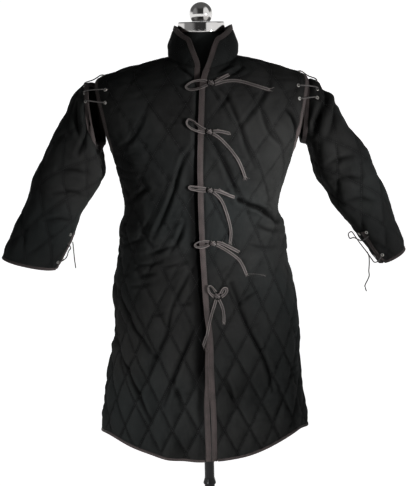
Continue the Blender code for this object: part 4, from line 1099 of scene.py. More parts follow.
@cache
def bindings():
    """Every tape of the coat: its part for the mesh and its lines of stitches."""
    made, parts = {}, panels()
    for name in ("front_left", "front_right", "back"):
        if name == "back":
            frame = edge_frame(parts[name], "first_row", slice(4, -4))
        else:
            frame = edge_frame(parts[name], "first_row")[:, 1:-4]
        made[f"hem_binding_{name}"] = edge_binding(tree_of(name), *frame, 0.0050)
    for side in SIDES:
        front = tree_of(f"front_{side}")
        frame = edge_frame(parts[f"front_{side}"], "last_column")
        made[f"front_binding_{side}"] = edge_binding(front, *frame, coat_settings().front_tape)
        body = tree_of(f"front_{side}", "back")
        frame = armhole_frame(body, side)
        made[f"armhole_binding_{side}"] = edge_binding(body, *frame, 0.0105, WALL, True, 0.006)
        sleeve = parts[f"sleeve_{side}"]
        tree = tree_of(f"sleeve_{side}")
        frame = edge_frame(sleeve, "first_row")[:, :-1]
        made[f"sleeve_head_binding_{side}"] = edge_binding(tree, *frame, 0.0085, WALL, True)
        made[f"cuff_binding_{side}"] = edge_binding(tree, *edge_frame(sleeve, "last_row"), 0.0054)
        for number, which in enumerate(("first_column", "last_column")):
            frame = edge_frame(sleeve, which)[:, sleeve.joined : -2]
            made[f"slit_binding_{side}_{number}"] = edge_binding(tree, *frame, 0.0056)
    left, top, right = (
        edge_frame(parts["collar"], which) for which in ("first_column", "last_row", "last_column")
    )
    edge, facing, inward = np.hstack([left[:, :-1], top[:, 1:-1], right[:, :-1][:, ::-1]])
    for _ in range(2):
        inward[1:-1] = unit(inward[:-2] + inward[1:-1] * 2 + inward[2:])
    made["collar_binding"] = edge_binding(tree_of("collar"), edge, facing, inward, 0.0095, 0.0055)
    return made


# Cords


def draped(tree, places, lofts, clearance, reach):
    """Places in front of the cloth at each x and z, bridging its hollows."""
    ys = []
    for x, _, z in places:
        hit = tree.ray_cast(Vector((x, -0.5, z)), Vector((0, 1, 0)), 0.6)
        ys.append(hit[0].y if hit[0] else np.nan)
    ys = filled(np.array(ys))
    steps = np.linalg.norm(np.diff(places[:, [0, 2]], axis=0), axis=-1).mean()
    window = max(round(reach / steps), 1)
    padded = np.pad(ys, window, mode="edge")
    lowest = np.array([padded[k : k + 2 * window + 1].min() for k in range(len(ys))])
    for _ in range(3 * window):
        lowest = evened(lowest)
    lowest = evened(evened(np.minimum(lowest, ys)))
    found = places.copy()
    found[:, 1] = lowest - clearance - lofts
    return found


def tie_tree():
    """The fronts and their tapes, to lay the ties on."""
    fronts = [outer_faces(panels()[f"front_{side}"]) for side in SIDES]
    return surface_tree(fronts + [bindings()[f"front_binding_{side}"][0] for side in SIDES])


def frayed_end(place, way, facing, seed, spread, reach):
    """The loose threads at a tie's cut end."""
    chance = np.random.default_rng(seed)
    side = np.cross(way, facing)
    share = np.linspace(-0.15, 1, 6)[:, None]
    parts = []
    for offset in np.arange(8) / 7 - 0.5:
        start = place + side * offset * 0.0050
        lean = side * offset * spread * 2 + side * chance.normal(0, 0.12)
        lean = lean + facing * chance.uniform(-0.02, 0.22)
        length = reach * chance.uniform(0.55, 1.0)
        line = start + way * length * share + lean * length * share**2
        line[:, 1] = np.minimum(line[:, 1], place[1] + 0.0002)
        parts.append(tube(line, 0.00026, 5, False))
    return parts


def eyelet_spots():
    """Where the metal eyelets sit: places and outward directions on the body and the sleeves."""
    spots = []
    for side in SIDES:
        trees = tree_of(f"front_{side}", "back"), tree_of(f"sleeve_{side}")
        for ends in lace_ends(side).values():
            for tree, (place, facing) in zip(trees, ends):
                spots.append((tree.find_nearest(Vector(place))[0], facing))
        panel = panels()[f"sleeve_{side}"]
        rows = len(panel.outer) - 1 - panel.joined
        for share in (0.04, 0.78):
            row = int(panel.joined + share * rows)
            spots += [(panel.outer[row, column], panel.normal[row, column]) for column in (5, -6)]
    return [(np.array(place) + facing * 0.0004, facing) for place, facing in spots]


# The left cuff's lace outside the sleeve: its bow and tight strand, then the hanging end.
LEFT_CUFF_BOW = [
    (0.3440, -0.0500, 1.0170), (0.3355, -0.0440, 1.0145), (0.3325, -0.0390, 1.0240),
    (0.3400, -0.0380, 1.0290), (0.3470, -0.0400, 1.0200), (0.3550, -0.0440, 1.0080),
    (0.3660, -0.0450, 0.9930), (0.3755, -0.0460, 0.9805), (0.3850, -0.0490, 0.9665),
    (0.3910, -0.0530, 0.9590),
]
LEFT_CUFF_TAIL = [
    (0.3750, -0.0486, 0.9825), (0.3790, -0.0500, 0.9720), (0.3800, -0.0500, 0.9575),
    (0.3795, -0.0480, 0.9370), (0.3803, -0.0470, 0.9240), (0.3720, -0.0460, 0.9045),
    (0.3712, -0.0460, 0.8995), (0.3745, -0.0460, 0.8890),
]
RIGHT_CUFF_DROPS = np.array([
    (0, 0, 0), (0.001, -0.004, -0.008), (0.002, -0.006, -0.022), (0.003, -0.006, -0.041),
    (0.005, -0.006, -0.061),
])
RUNGS = {
    "top": (0.2130, 1.3950, 0.33, 16),
    "middle": (0.2140, 1.3680, 0.40, 40),
    "low": (0.2150, 1.3400, 0.42, 58),
}

# Where a cuff's lace crosses the slit: its first places as level, degrees from the slit and
# height, then the left one's bow, and its last places.
CUFF_CROSSINGS = {
    "left": (
        [(6.95, 15, -0.002), (6.95, 13), (6.98, 4, 0.0025), (7.02, -12, 0.005)],
        LEFT_CUFF_BOW,
        [(7.86, -6, 0.005), (7.80, 4, 0.003), (7.72, 13), (7.72, 15, -0.002)],
    ),
    "right": (
        [(7.15, 15, -0.002), (7.15, 13), (7.22, 6, 0.002), (7.3, -2, 0.003)],
        [],
        [(7.42, -10, 0.001), (7.56, -4, 0.004), (7.66, 4, 0.003), (7.72, 13), (7.72, 15, -0.002)],
    ),
}


def place_and_facing(surface, level, angle, outward=None):
    """A place on a surface and the direction across its slopes, on the given side if any."""
    step = 0.02
    rise = surface(level + step, angle) - surface(level - step, angle)
    turn = surface(level, angle + step) - surface(level, angle - step)
    facing = unit(np.cross(rise, turn))
    if outward is not None:
        facing = facing * np.sign(np.dot(facing, outward))
    return surface(level, angle), facing


def front_place(x, z):
    """The place on the front of the body at this x and z, and the direction out of it."""
    level = np.linspace(0, len(TORSO) - 1, 541)
    turn = np.linspace(0, math.pi, 361)
    places = torso_base(level[:, None], turn[None, :])
    away = (places[..., 0] - x) ** 2 + (places[..., 2] - z) ** 2
    row, column = np.unravel_index(np.argmin(away), away.shape)
    place, facing = place_and_facing(torso_base, level[row], turn[column], [0, -1, 0])
    return place + [x - place[0], 0, z - place[2]], facing


def lace_ends(side):
    """The two ends of each of a shoulder's laces, on the body and on the sleeve."""
    mirror = SIDES[side]
    ends = {}
    for name, (x, z, level, degrees) in RUNGS.items():
        if name == "top":
            turn = math.radians(90 - 82 * mirror)
            start = place_and_facing(torso_base, SHOULDER_TIP + 0.45, turn, [0, 0, 1])
        else:
            start = front_place(mirror * x, z)
        out = [mirror * 0.6, -0.5, 0.6]
        end = place_and_facing(partial(sleeve_base, side), level, math.radians(degrees), out)
        ends[name] = (start, end)
    return ends


def ease(lines):
    """The same rows of directions, evened out along their length."""
    padded = np.vstack([lines[:1], lines, lines[-1:]])
    return unit(0.25 * padded[:-2] + 0.5 * padded[1:-1] + 0.25 * padded[2:])


def tie_line(name, tree):
    """The line that a strand of a tie follows over the cloth, and the way its face looks."""
    line = smooth_route(np.array(TIE_STRANDS[name], float) * MM, 0.0020)
    places = np.stack([line[:, 0], np.zeros(len(line)), line[:, 1]], -1)
    loft = np.maximum(line[:, 2] - 0.0050, 0) * 0.9
    facing = np.tile([0.0, -1.0, 0.0], (len(line), 1))
    if "loop_left" in name:
        # This loop stands on its edge.
        arch = np.sin(math.pi * np.linspace(0, 1, len(line)))
        places = draped(tree, places, loft, 0.0013 + 0.0019 * arch**0.5, 0.010)
        across = unit(np.cross(along_and_sides(places), [0.0, 1.0, 0.0]))
        facing = unit(facing + across * (1.5 * arch**0.6)[:, None])
    else:
        places = draped(tree, places, loft, 0.0013, 0.006)
    for _ in range(3):
        facing = ease(facing)
    return places, facing


def knot_parts(name, tree, width):
    """A knot of the folded tape: a core with two bands drawn tight round it."""
    x, z = KNOTS[name]
    middle = draped(tree, np.array([[x, 0, z], [x + 1, 0, z]]) * [MM, 1, MM], 0, 0.0036, 0.001)[0]
    polar = np.linspace(0, math.pi, 9)[1:-1, None]
    around = np.linspace(0, math.tau, 14, endpoint=False)
    core = [np.sin(polar) * np.cos(around) * 0.0052, np.sin(polar) * np.sin(around) * 0.0034]
    core = np.stack([*core, -np.cos(polar) * 0.0046 + 0 * around], -1)
    parts = [sweep(middle + core, np.linspace(0, 0.01, len(core)))]
    angle = np.linspace(0, math.tau, 28, endpoint=False)
    for lean, wide, deep in ((38, 0.0062, 0.0043), (-34, 0.0056, 0.0040)):
        path = np.stack([np.cos(angle) * wide, np.sin(angle) * deep, 0 * angle], -1)
        path = path @ np.array(Matrix.Rotation(math.radians(lean), 3, "Y")).T
        facing = unit(path / [wide**2, deep**2, wide**2])
        along = np.linspace(0, 0.035, len(path))
        parts.append(ribbon(middle + path, facing, width * 0.80, 0.0011, True, along))
    return parts


# The seed, the spread and the length of the threads at each tail's end.
FRAYED = {
    "tie_1_tail": (3, 0.75, 0.013),
    "tie_2_tail": (5, 0.55, 0.012),
    "tie_3_tail": (7, 0.25, 0.008),
    "tie_4_tail": (9, 0.25, 0.007),
    "tie_5_tail": (11, 1.15, 0.012),
    "tie_5_tail_short": (13, 0.20, 0.006),
}


def placed(piece, slot_name, *nodes):
    """Rides the piece on the body in place of its CAD nodes; slot_name is not used."""
    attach(piece, BODY)
    if nodes:
        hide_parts(*nodes)
    return piece


# Repeated pieces, made with Geometry Nodes


class Builder:
    """Adds nodes to a tree: settings first, then the sockets' values or links."""

    def __init__(self, tree):
        self.tree = tree

    def node(self, kind, settings=None, inputs=None):
        made = self.tree.nodes.new(kind)
        for key, value in (settings or {}).items():
            setattr(made, key, value)
        for key, value in (inputs or {}).items():
            self.join(value, made.inputs[key])
        return made

    def join(self, value, socket):
        """Links a socket or a Value to this socket, or gives it the number."""
        value = getattr(value, "socket", value)
        if isinstance(value, bpy.types.NodeSocket):
            self.tree.links.new(value, socket)
        else:
            socket.default_value = value

    def first(self, kind, settings=None, **inputs):
        """The first output of a new node."""
        return self.node(kind, settings, inputs).outputs[0]


class GrowthTree(Builder):
    """A Geometry Nodes tree that puts one shape on every point it finds, in one finish."""

    def __init__(self, name, numbers):
        super().__init__(bpy.data.node_groups.new(name, "GeometryNodeTree"))
        self.add_socket("Geometry", "Geometry")
        for label, value in numbers.items():
            self.add_socket(label, "Float").default_value = value
        self.add_socket("Finish", "Material")
        self.add_socket("Geometry", "Geometry", "OUTPUT")
        self.given = self.node("NodeGroupInput").outputs

    def add_socket(self, label, kind, way="INPUT"):
        kind = f"NodeSocket{kind}"
        return self.tree.interface.new_socket(label, in_out=way, socket_type=kind)

    def grow(self, points, shape, rotation):
        """Puts the shape on the points, makes it real and smooth, and sets its finish."""
        inputs = {"Points": points, "Instance": shape, "Rotation": rotation}
        placed = self.first("GeometryNodeInstanceOnPoints", **inputs)
        real = self.first("GeometryNodeRealizeInstances", Geometry=placed)
        smooth = self.first("GeometryNodeSetShadeSmooth", Geometry=real)
        inputs = {"Geometry": smooth, "Material": self.given["Finish"]}
        made = self.first("GeometryNodeSetMaterial", **inputs)
        self.join(made, self.node("NodeGroupOutput").inputs["Geometry"])
        return self.tree


def stitch_tree():
    """Short round-ended stitches at even steps along every line of a mesh's edges."""
    build = GrowthTree("stitches", {"Pitch": 0.0045, "Length": 0.0030, "Thickness": 0.0008})
    given = build.given
    curve = build.first("GeometryNodeMeshToCurve", Mesh=given["Geometry"])
    inputs = {"Curve": curve, "Length": given["Pitch"]}
    points = build.node("GeometryNodeCurveToPoints", {"mode": "LENGTH"}, inputs).outputs
    ball = build.first("GeometryNodeMeshUVSphere", Segments=5, Rings=4, Radius=0.5)
    thick = given["Thickness"]
    size = build.first("ShaderNodeCombineXYZ", X=thick, Y=thick, Z=given["Length"])
    shaped = build.first("GeometryNodeTransform", Geometry=ball, Scale=size)
    return build.grow(points["Points"], shaped, points["Rotation"])


def eyelet_tree():
    """A metal ring on every point of a mesh, square to the direction stored there."""
    build = GrowthTree("eyelets", {"Radius": 0.0040, "Wire": 0.0011})
    given = build.given
    circle = "GeometryNodeCurvePrimitiveCircle"
    ring = build.first(circle, Resolution=24, Radius=given["Radius"])
    wire = build.first(circle, Resolution=8, Radius=given["Wire"])
    inputs = {"Curve": ring, "Profile Curve": wire}
    body = build.first("GeometryNodeCurveToMesh", **inputs)
    kind = {"data_type": "FLOAT_VECTOR"}
    facing = build.node("GeometryNodeInputNamedAttribute", kind, {"Name": "facing"})
    vector = facing.outputs["Attribute"]
    turned = build.first("FunctionNodeAlignRotationToVector", {"axis": "Z"}, Vector=vector)
    points = build.first("GeometryNodeMeshToPoints", Mesh=given["Geometry"])
    return build.grow(points, body, turned)


def grown(name, mesh, tree, values):
    """The plain mesh object that a Geometry Nodes tree makes from a mesh."""
    holder = linked_object(f"{name}_guide", mesh)
    modifier = holder.modifiers.new("growth", "NODES")
    modifier.node_group = tree
    sockets = {item.name: item.identifier for item in tree.interface.items_tree}
    for label, value in values.items():
        modifier[sockets[label]] = value
    holder.update_tag()
    bpy.context.view_layer.update()
    graph = bpy.context.evaluated_depsgraph_get()
    result = bpy.data.meshes.new_from_object(holder.evaluated_get(graph), depsgraph=graph)
    bpy.data.objects.remove(holder)
    result.name = name
    if not result.polygons:
        raise RuntimeError(f"{name}: the tree made no faces")
    return linked_object(name, result)


def line_mesh(name, lines):
    """A mesh of open lines, as edges only."""
    mesh = bpy.data.meshes.new(name)
    points, edges = [], []
    for line in lines:
        start = len(points)
        points += [tuple(place) for place in line]
        edges += [(start + k, start + k + 1) for k in range(len(line) - 1)]
    mesh.from_pydata(points, edges, [])
    return mesh


def quilting_lines(panel):
    """The lines of quilting over a panel's outer face."""
    found = []
    keep, columns = 3, np.arange(panel.outer.shape[1])
    for field in (panel.first, panel.second):
        for number in range(math.floor(field.min()), math.ceil(field.max()) + 1):
            lines = [[]]
            for row in range(keep, len(field) - keep):
                values = field[row]
                order = slice(None, None, 1 if values[-1] > values[0] else -1)
                inside = values.min() < number < values.max()
                at = np.interp(number, values[order], columns[order]) if inside else -1
                if keep <= at <= columns[-1] - keep:
                    low, share = int(at), at % 1
                    place = panel.outer[row, low] * (1 - share) + panel.outer[row, low + 1] * share
                    lines[-1].append(place + panel.normal[row, low] * 0.0002)
                else:
                    lines.append([])
            found += [line for line in lines if len(line) > 3]
    return found


# Finishes


class Value:
    """A shader socket that adds Math nodes as it is used in an expression."""

    def __init__(self, build, socket):
        self.build = build
        self.socket = socket

    def maths(self, operation, *terms):
        made = self.build.node("ShaderNodeMath", {"operation": operation})
        for place, term in zip(made.inputs, terms):
            self.build.join(term, place)
        return Value(self.build, made.outputs["Value"])

    def __add__(self, other):
        return self.maths("ADD", self, other)

    def __sub__(self, other):
        return self.maths("SUBTRACT", self, other)

    def __mul__(self, other):
        return self.maths("MULTIPLY", self, other)

    def __rsub__(self, other):
        return self.maths("SUBTRACT", other, self)

    __radd__ = __add__
    __rmul__ = __mul__

    def wave(self):
        """A wave between 0 and 1 that repeats each whole number."""
        return self.maths("SINE", self * math.tau) * 0.5 + 0.5

    def size(self):
        return self.maths("ABSOLUTE", self)

    def part(self):
        return self.maths("FRACT", self)

    def between(self, low, high):
        inputs = {"Value": self.socket, "From Min": low, "From Max": high}
        smooth = {"interpolation_type": "SMOOTHSTEP"}
        return Value(self.build, self.build.first("ShaderNodeMapRange", smooth, **inputs))


class Finish(Builder):
    """A material in tones of one colour, painted in layers."""

    def __init__(self, name, color, metallic=0.0, specular=0.5, sheen=0.0):
        self.material = bpy.data.materials.new(name)
        self.material.use_nodes = True
        super().__init__(self.material.node_tree)
        self.shader = self.tree.nodes["Principled BSDF"].inputs
        self.color = color
        self.shade = None
        self.join(metallic, self.shader["Metallic"])
        self.join(specular, self.shader["Specular IOR Level"])
        self.join(sheen, self.shader["Sheen Weight"])
        self.join(0.55, self.shader["Sheen Roughness"])

    def noise(self, scale, detail, stretch=None):
        """Noise in the object's own space, stretched along each axis if asked."""
        place = self.node("ShaderNodeTexCoord").outputs["Object"]
        if stretch:
            place = self.first("ShaderNodeMapping", Vector=place, Scale=stretch)
        made = self.first("ShaderNodeTexNoise", Vector=place, Scale=scale, Detail=detail)
        return Value(self, made)

    def uv(self):
        """The piece's own map in metres, as two values."""
        place = self.first("ShaderNodeUVMap", {"uv_map": "UVMap"})
        apart = self.node("ShaderNodeSeparateXYZ", inputs={"Vector": place}).outputs
        return Value(self, apart["X"]), Value(self, apart["Y"])

    def stored(self, name):
        made = self.node("ShaderNodeAttribute", {"attribute_name": name})
        return Value(self, made.outputs["Fac"])

    def paint(self, share, over, under=None):
        """Mixes in a tone: a share of the finish's colour, or a colour of its own."""
        made = self.node("ShaderNodeMix", {"data_type": "RGBA"})
        under = self.shade if under is None else under
        for socket, value in zip((made.inputs[0], *made.inputs[6:8]), (share, under, over)):
            if isinstance(value, float) and socket != made.inputs[0]:
                value = tuple(channel * value for channel in self.color)
            self.join((*value, 1.0) if isinstance(value, tuple) else value, socket)
        self.shade = made.outputs[2]

    def done(self, roughness, height=None, depth=0.0):
        """The material, with its colour, roughness and relief."""
        self.join(self.shade, self.shader["Base Color"])
        self.join(roughness, self.shader["Roughness"])
        if height:
            inputs = {"Height": height, "Distance": depth, "Strength": 1.0}
            self.join(self.first("ShaderNodeBump", **inputs), self.shader["Normal"])
        return self.material


def canvas_finish(name, color):
    """Close black canvas: a fine weave, faded a little where it stands proud, with painted shade in its
    grooves.
    """
    made = Finish(name, color, specular=0.03)
    across, up = made.uv()
    warp, weft = (across * 1150).wave(), (up * 1150).wave()
    weave = warp * weft + (1 - warp) * (1 - weft)
    slubs = made.noise(260, 2.0, (1.0, 1.0, 0.25))
    fine = made.noise(75, 3.0)
    proud = 1 - made.stored("groove")
    fade = made.noise(9, 4.0).between(0.30, 0.72) * 0.75 + fine * 0.25
    made.paint(fade, 1.46, 0.58)
    cool = (color[0] * 0.84, color[1] * 1.00, color[2] * 1.04)
    made.paint(made.noise(3.2, 2.0).between(0.42, 0.66) * 0.7, cool)
    made.paint((proud * 0.35 + 0.1) * slubs.between(0.45, 0.75) * 0.5, 2.0)
    # Painted shade: the quilting's seams, the creases and the trench beside the front tape darkened
    # almost to black.
    made.paint((1 - proud) * 0.97, 0.08)
    return made.done(0.80 + 0.12 * fine - 0.05 * proud, weave * 0.30 + slubs * 0.35 + fine * 0.9, 0.0007)


def tape_finish(name, color, fold=None):
    """Woven twill tape in herringbone ribs, with painted shade down the groove of its fold if there is
    one at this distance.
    """
    made = Finish(name, color, specular=0.12, sheen=0.04)
    made.join((0.95, 0.90, 0.86, 1.0), made.shader["Sheen Tint"])
    across, along = made.uv()
    side = (across * 330).part() - 0.5
    ribs = (along * 620 + side.size() * 2.4).wave()
    threads = (along * 1500 + across * 260).wave()
    fine = made.noise(420, 2.0)
    made.paint(made.noise(34, 3.0).between(0.30, 0.70), 1.25, 0.70)
    made.paint(ribs * 0.45, 0.62)
    made.paint(fine.between(0.55, 0.80) * 0.5, 1.9)
    if fold:
        # Painted shade in the groove down the middle, between the tape's two raised edges.
        clear_of_shade = (across - fold).size().between(0.0011, 0.0025)
        made.paint((1 - clear_of_shade) * 0.90, 0.14)
    return made.done(0.62 + 0.18 * ribs, ribs * 0.7 + threads * 0.25 + fine * 0.3, 0.00035)


def tie_finish(name, color):
    """The ties' folded and stitched tape, with painted shade in a dark line down the groove in its
    middle.
    """
    return tape_finish(name, color, 0.0039)


def lace_finish(name, color):
    """A round plaited cord."""
    made = Finish(name, color, specular=0.20, sheen=0.04)
    around, along = made.uv()
    plait = (along * 420 + around * 230).wave() * (along * 420 - around * 230).wave()
    made.paint(plait, 1.35, 0.55)
    made.paint(made.noise(60, 2.0).between(0.4, 0.7) * 0.5, 1.7)
    return made.done(0.55 + 0.20 * plait, plait, 0.00045)


def jersey_finish(name, color):
    """The form's stretched knit."""
    made = Finish(name, color, specular=0.06, sheen=0.02)
    knit = made.noise(900, 1.0, (1.0, 1.0, 0.35))
    made.paint(made.noise(7, 3.0), 1.25, 0.75)
    made.paint(knit.between(0.45, 0.7) * 0.6, 1.6)
    return made.done(0.82 + 0.12 * knit, knit, 0.0004)


def chrome_finish(name, color):
    """Polished chrome with a little handling haze."""
    made = Finish(name, color, metallic=1.0)
    haze = made.noise(18, 4.0).between(0.45, 0.80)
    marks = made.noise(160, 2.0, (1.0, 1.0, 5.0))
    made.paint(haze * 0.5, 0.86, 1.0)
    return made.done(0.035 + 0.07 * haze + 0.03 * marks, marks, 0.00004)


def enamel_finish(name, color):
    """Black stoved enamel with a faint orange peel and rubbed dust."""
    made = Finish(name, color, specular=0.14)
    peel = made.noise(420, 2.0)
    dust = made.noise(14, 5.0).between(0.50, 0.85)
    made.paint(dust * 0.5, 2.2, 1.0)
    return made.done(0.26 + 0.26 * dust + 0.06 * peel, peel, 0.00010)


def thread_finish(name, color):
    """Twisted sewing thread."""
    made = Finish(name, color, specular=0.10)
    twist = made.noise(1400, 1.0)
    made.paint(twist, 1.4, 0.7)
    return made.done(0.52 + 0.2 * twist)


def eyelet_finish(name, color):
    """Nickel-plated wire, rubbed bright on its crown."""
    made = Finish(name, color, metallic=1.0)
    worn = made.noise(210, 3.0)
    made.paint(worn, 1.1, 0.62)
    return made.done(0.18 + 0.26 * worn)


def floor_finish(name, color):
    """A plain pale studio floor, lit from within like a light table."""
    made = Finish(name, color, specular=0.0)
    made.paint(made.noise(0.8, 2.0), 1.0, 0.985)
    made.join((1.0, 1.0, 1.0, 1.0), made.shader["Emission Color"])
    made.join(0.90, made.shader["Emission Strength"])
    return made.done(0.9)


FINISHES = {
    "padded_canvas": (canvas_finish, "coat", "cloth_color"),
    "binding_tape": (tape_finish, "coat", "tape_color"),
    "tie_tape": (tie_finish, "coat", "tie_color"),
    "lace": (lace_finish, "coat", "lace_color"),
    "stitching": (thread_finish, "coat", "thread_color"),
    "eyelet_nickel": (eyelet_finish, "coat", "eyelet_color"),
    "form_jersey": (jersey_finish, "stand", "jersey_color"),
    "polished_chrome": (chrome_finish, "stand", "chrome_color"),
    "black_enamel": (enamel_finish, "stand", "enamel_color"),
}


@cache
def finish_of(name):
    """One of the object's finishes, made when it is first asked for."""
    maker, group, key = FINISHES[name]
    settings = getattr(bpy.context.scene, f"gambeson_{group}")
    return maker(name, tuple(getattr(settings, key)))


# What a user can change


def a_length(name, description, default, low, high):
    """A size that a user can change, in metres."""
    limits = {"default": default, "min": low, "max": high}
    return FloatProperty(name=name, description=description, unit="LENGTH", **limits)


def a_color(name, *default):
    """A colour that a user can change."""
    shown = {"name": name, "description": f"Colour of the {name.lower()}", "subtype": "COLOR"}
    return FloatVectorProperty(default=default, min=0.0, max=1.0, **shown)


class CoatSettings(bpy.types.PropertyGroup):
    """Sizes and colours of the coat."""

    puff: a_length(
        "Quilting height", "How far the diamonds stand over the lines of quilting", 0.0060, 0, 0.008
    )
    front_tape: a_length(
        "Front tape", "Width of the tape that shows along the front edges", 0.0112, 0.006, 0.02
    )
    tie_width: a_length(
        "Tie width", "Width of the folded tape that the ties are made of", 0.0062, 0.003, 0.012
    )
    lace_diameter: a_length(
        "Lace diameter", "Thickness of the laces at shoulders and cuffs", 0.0028, 0.0015, 0.005
    )
    stitch_pitch: a_length(
        "Stitch pitch", "Distance from one quilting stitch to the next", 0.0048, 0.003, 0.010
    )
    knot_size: a_length(
        "Knot tape", "Width of the tape where it is drawn into the knots", 0.0066, 0.003, 0.012
    )
    eyelet_radius: a_length(
        "Eyelet radius", "Radius of the eyelets, at the middle of their wire", 0.0030, 0.002, 0.006
    )
    crease_depth: FloatProperty(
        name="Crease depth",
        description="How deep the creases are, where 1 is a soft coat and 2 a stiff one",
        default=1.6,
        min=0.0,
        max=2.0,
    )
    cloth_color: a_color("Padded canvas", 0.0062, 0.0063, 0.0061)
    tape_color: a_color("Edge tapes", 0.0232, 0.0179, 0.0174)
    tie_color: a_color("Ties", 0.076, 0.0660, 0.0640)
    lace_color: a_color("Round laces", 0.034, 0.031, 0.030)
    thread_color: a_color("Sewing thread", 0.0105, 0.0105, 0.0110)
    eyelet_color: a_color("Metal eyelets", 0.34, 0.33, 0.31)


class StandSettings(bpy.types.PropertyGroup):
    """Colours of the dress form and its stand."""

    jersey_color: a_color("Form's jersey", 0.0075, 0.0085, 0.0085)
    chrome_color: a_color("Cap and ball", 0.66, 0.645, 0.635)
    enamel_color: a_color("Pole and base", 0.0045, 0.0045, 0.0050)
    sides: IntProperty(
        name="Sides",
        description="How many sides the turned pieces of the stand have",
        default=96,
        min=24,
        max=256,
    )


class StageSettings(bpy.types.PropertyGroup):
    """Floor, light and camera."""

    key_power: FloatProperty(
        name="Key light",
        description="Strength of the soft light at the right, which fades away from the chest",
        default=3.2,
        min=0.0,
        unit="POWER",
    )
    fill_power: FloatProperty(
        name="Fill light",
        description="Strength of the soft light at the left, which fades away from the skirt",
        default=2.1,
        min=0.0,
        unit="POWER",
    )
    top_tone: FloatProperty(
        name="Ceiling",
        description="How bright the surroundings are overhead, where the horizon is 1",
        default=0.12,
        min=0.0,
        max=2.0,
        subtype="FACTOR",
    )
    floor_color: a_color("Studio floor", 0.88, 0.88, 0.88)


# The operators


class BuildCamera(bpy.types.Operator):
    """Sets the camera a little above the collar, looking down at the coat"""

    bl_idname = "gambeson.build_camera"
    bl_label = "Camera"

    def execute(self, context):
        data = bpy.data.cameras.new("camera")
        data.lens = 77.04
        data.sensor_width = 36.0
        data.sensor_fit = "AUTO"
        camera = bpy.data.objects.new("camera", data)
        place = Matrix.Translation((-0.003, -2.4, 1.49))
        tilt = Matrix.Rotation(math.radians(90 - 11.5), 4, "X")
        roll = Matrix.Rotation(math.radians(-1.2), 4, "Z")
        camera.matrix_world = place @ tilt @ roll
        context.scene.collection.objects.link(camera)
        context.scene.camera = camera
        return {"FINISHED"}


class BuildTies(bpy.types.Operator):
    """Lays the five ties over the front: knots, loops and frayed tails"""

    bl_idname = "gambeson.build_ties"
    bl_label = "Ties"

    def execute(self, context):
        coat = context.scene.gambeson_coat
        tree = tie_tree()
        for name in KNOTS:
            piece = solid(f"{name}_knot_tape", knot_parts(name, tree, coat.knot_size), "tie_tape")
            placed(piece, "binding_tape", f"{name}_knot")
        for name in TIE_STRANDS:
            path, facing = tie_line(name, tree)
            piece = solid(f"{name}_tape", [ribbon(path, facing, coat.tie_width)], "tie_tape")
            placed(piece, "binding_tape", name)
            with_pieces = []
            if name in FRAYED:
                threads = frayed_end(path[-1], unit(path[-1] - path[-3]), facing[-1], *FRAYED[name])
                if name == "tie_4_tail":
                    threads += self.loose_thread(path[-1], tree)
                with_pieces = [solid(f"{name}_threads", threads, "tie_tape")]
                placed(with_pieces[0], "binding_tape")
        return {"FINISHED"}

    @staticmethod
    def loose_thread(start, tree):
        """A single thread that has worked free, with a small knot at its end."""
        ends = np.array([[start[0], 0, start[2]], [0.118, 0, 0.9500], [0.1345, 0, 0.9452]])
        line = draped(tree, smooth_route(ends, 0.003), 0, 0.0008, 0.004)
        bead = np.linspace(line[-1], line[-1] + [0.0012, 0, -0.0010], 4)
        return [tube(line, 0.00028, 5), tube(bead, 0.0010, 8)]


class BuildLaces(bpy.types.Operator):
    """Threads the shoulders' and the cuffs' laces through their eyelets"""

    bl_idname = "gambeson.build_laces"
    bl_label = "Laces and eyelets"

    def execute(self, context):
        for side in SIDES:
            for name, ((start, up), (end, out)) in lace_ends(side).items():
                route = [
                    start - up * 0.0010,
                    start + up * 0.0022,
                    start * 0.85 + end * 0.15 + up * 0.0046,
                    start * 0.5 + end * 0.5 + unit(up + out) * (0.0030 if name == "top" else 0.0065),
                    start * 0.12 + end * 0.88 + out * 0.0056,
                    end + out * 0.0022,
                    end - out * 0.0010,
                ]
                self.lay(f"shoulder_lace_{side}_{name}", route, "object", "loose")
            across, tail = self.cuff_routes(side)
            self.lay(f"cuff_lace_{side}_cross", across, "object", "loose")
            self.lay(f"cuff_lace_{side}_tail", tail, "bare", "hanging")
        self.set_eyelets()
        return {"FINISHED"}

    @staticmethod
    def lay(node, route, far_end, lay):
        path = smooth_route(route, 0.0016)
        diameter = coat_settings().lace_diameter
        piece = solid(f"{node}_cord", [tube(path, diameter / 2, 12)], "lace")
        placed(piece, "lace", node)

    @staticmethod
    def cuff_routes(side):
        """Across the slit and back in a small bow, and the hanging end."""

        def place(level, degrees, extra=0.0):
            angle = SLIT_ANGLE[side] - math.radians(degrees)
            centre = (sleeve_base(side, level, 0.0) + sleeve_base(side, level, math.pi)) / 2
            away = sleeve_base(side, level, angle) - centre
            at, out = place_and_facing(partial(sleeve_base, side), level, angle, away)
            return at + out * (0.0020 + extra)

        first, middle, last = CUFF_CROSSINGS[side]
        across = [place(*spot) for spot in first] + [*np.array(middle)]
        across += [place(*spot) for spot in last]
        tail = LEFT_CUFF_TAIL if side == "left" else place(7.15, -20) + RIGHT_CUFF_DROPS
        return across, tail

    @staticmethod
    def set_eyelets():
        spots = eyelet_spots()
        mesh = line_mesh("eyelet_spots", [[place] for place, _ in spots])
        facing = mesh.attributes.new("facing", "FLOAT_VECTOR", "POINT")
        facing.data.foreach_set("vector", np.array([out for _, out in spots], np.float32).ravel())
        values = {"Radius": coat_settings().eyelet_radius, "Finish": finish_of("eyelet_nickel")}
        placed(grown("eyelets", mesh, eyelet_tree(), values), "polished_chrome")


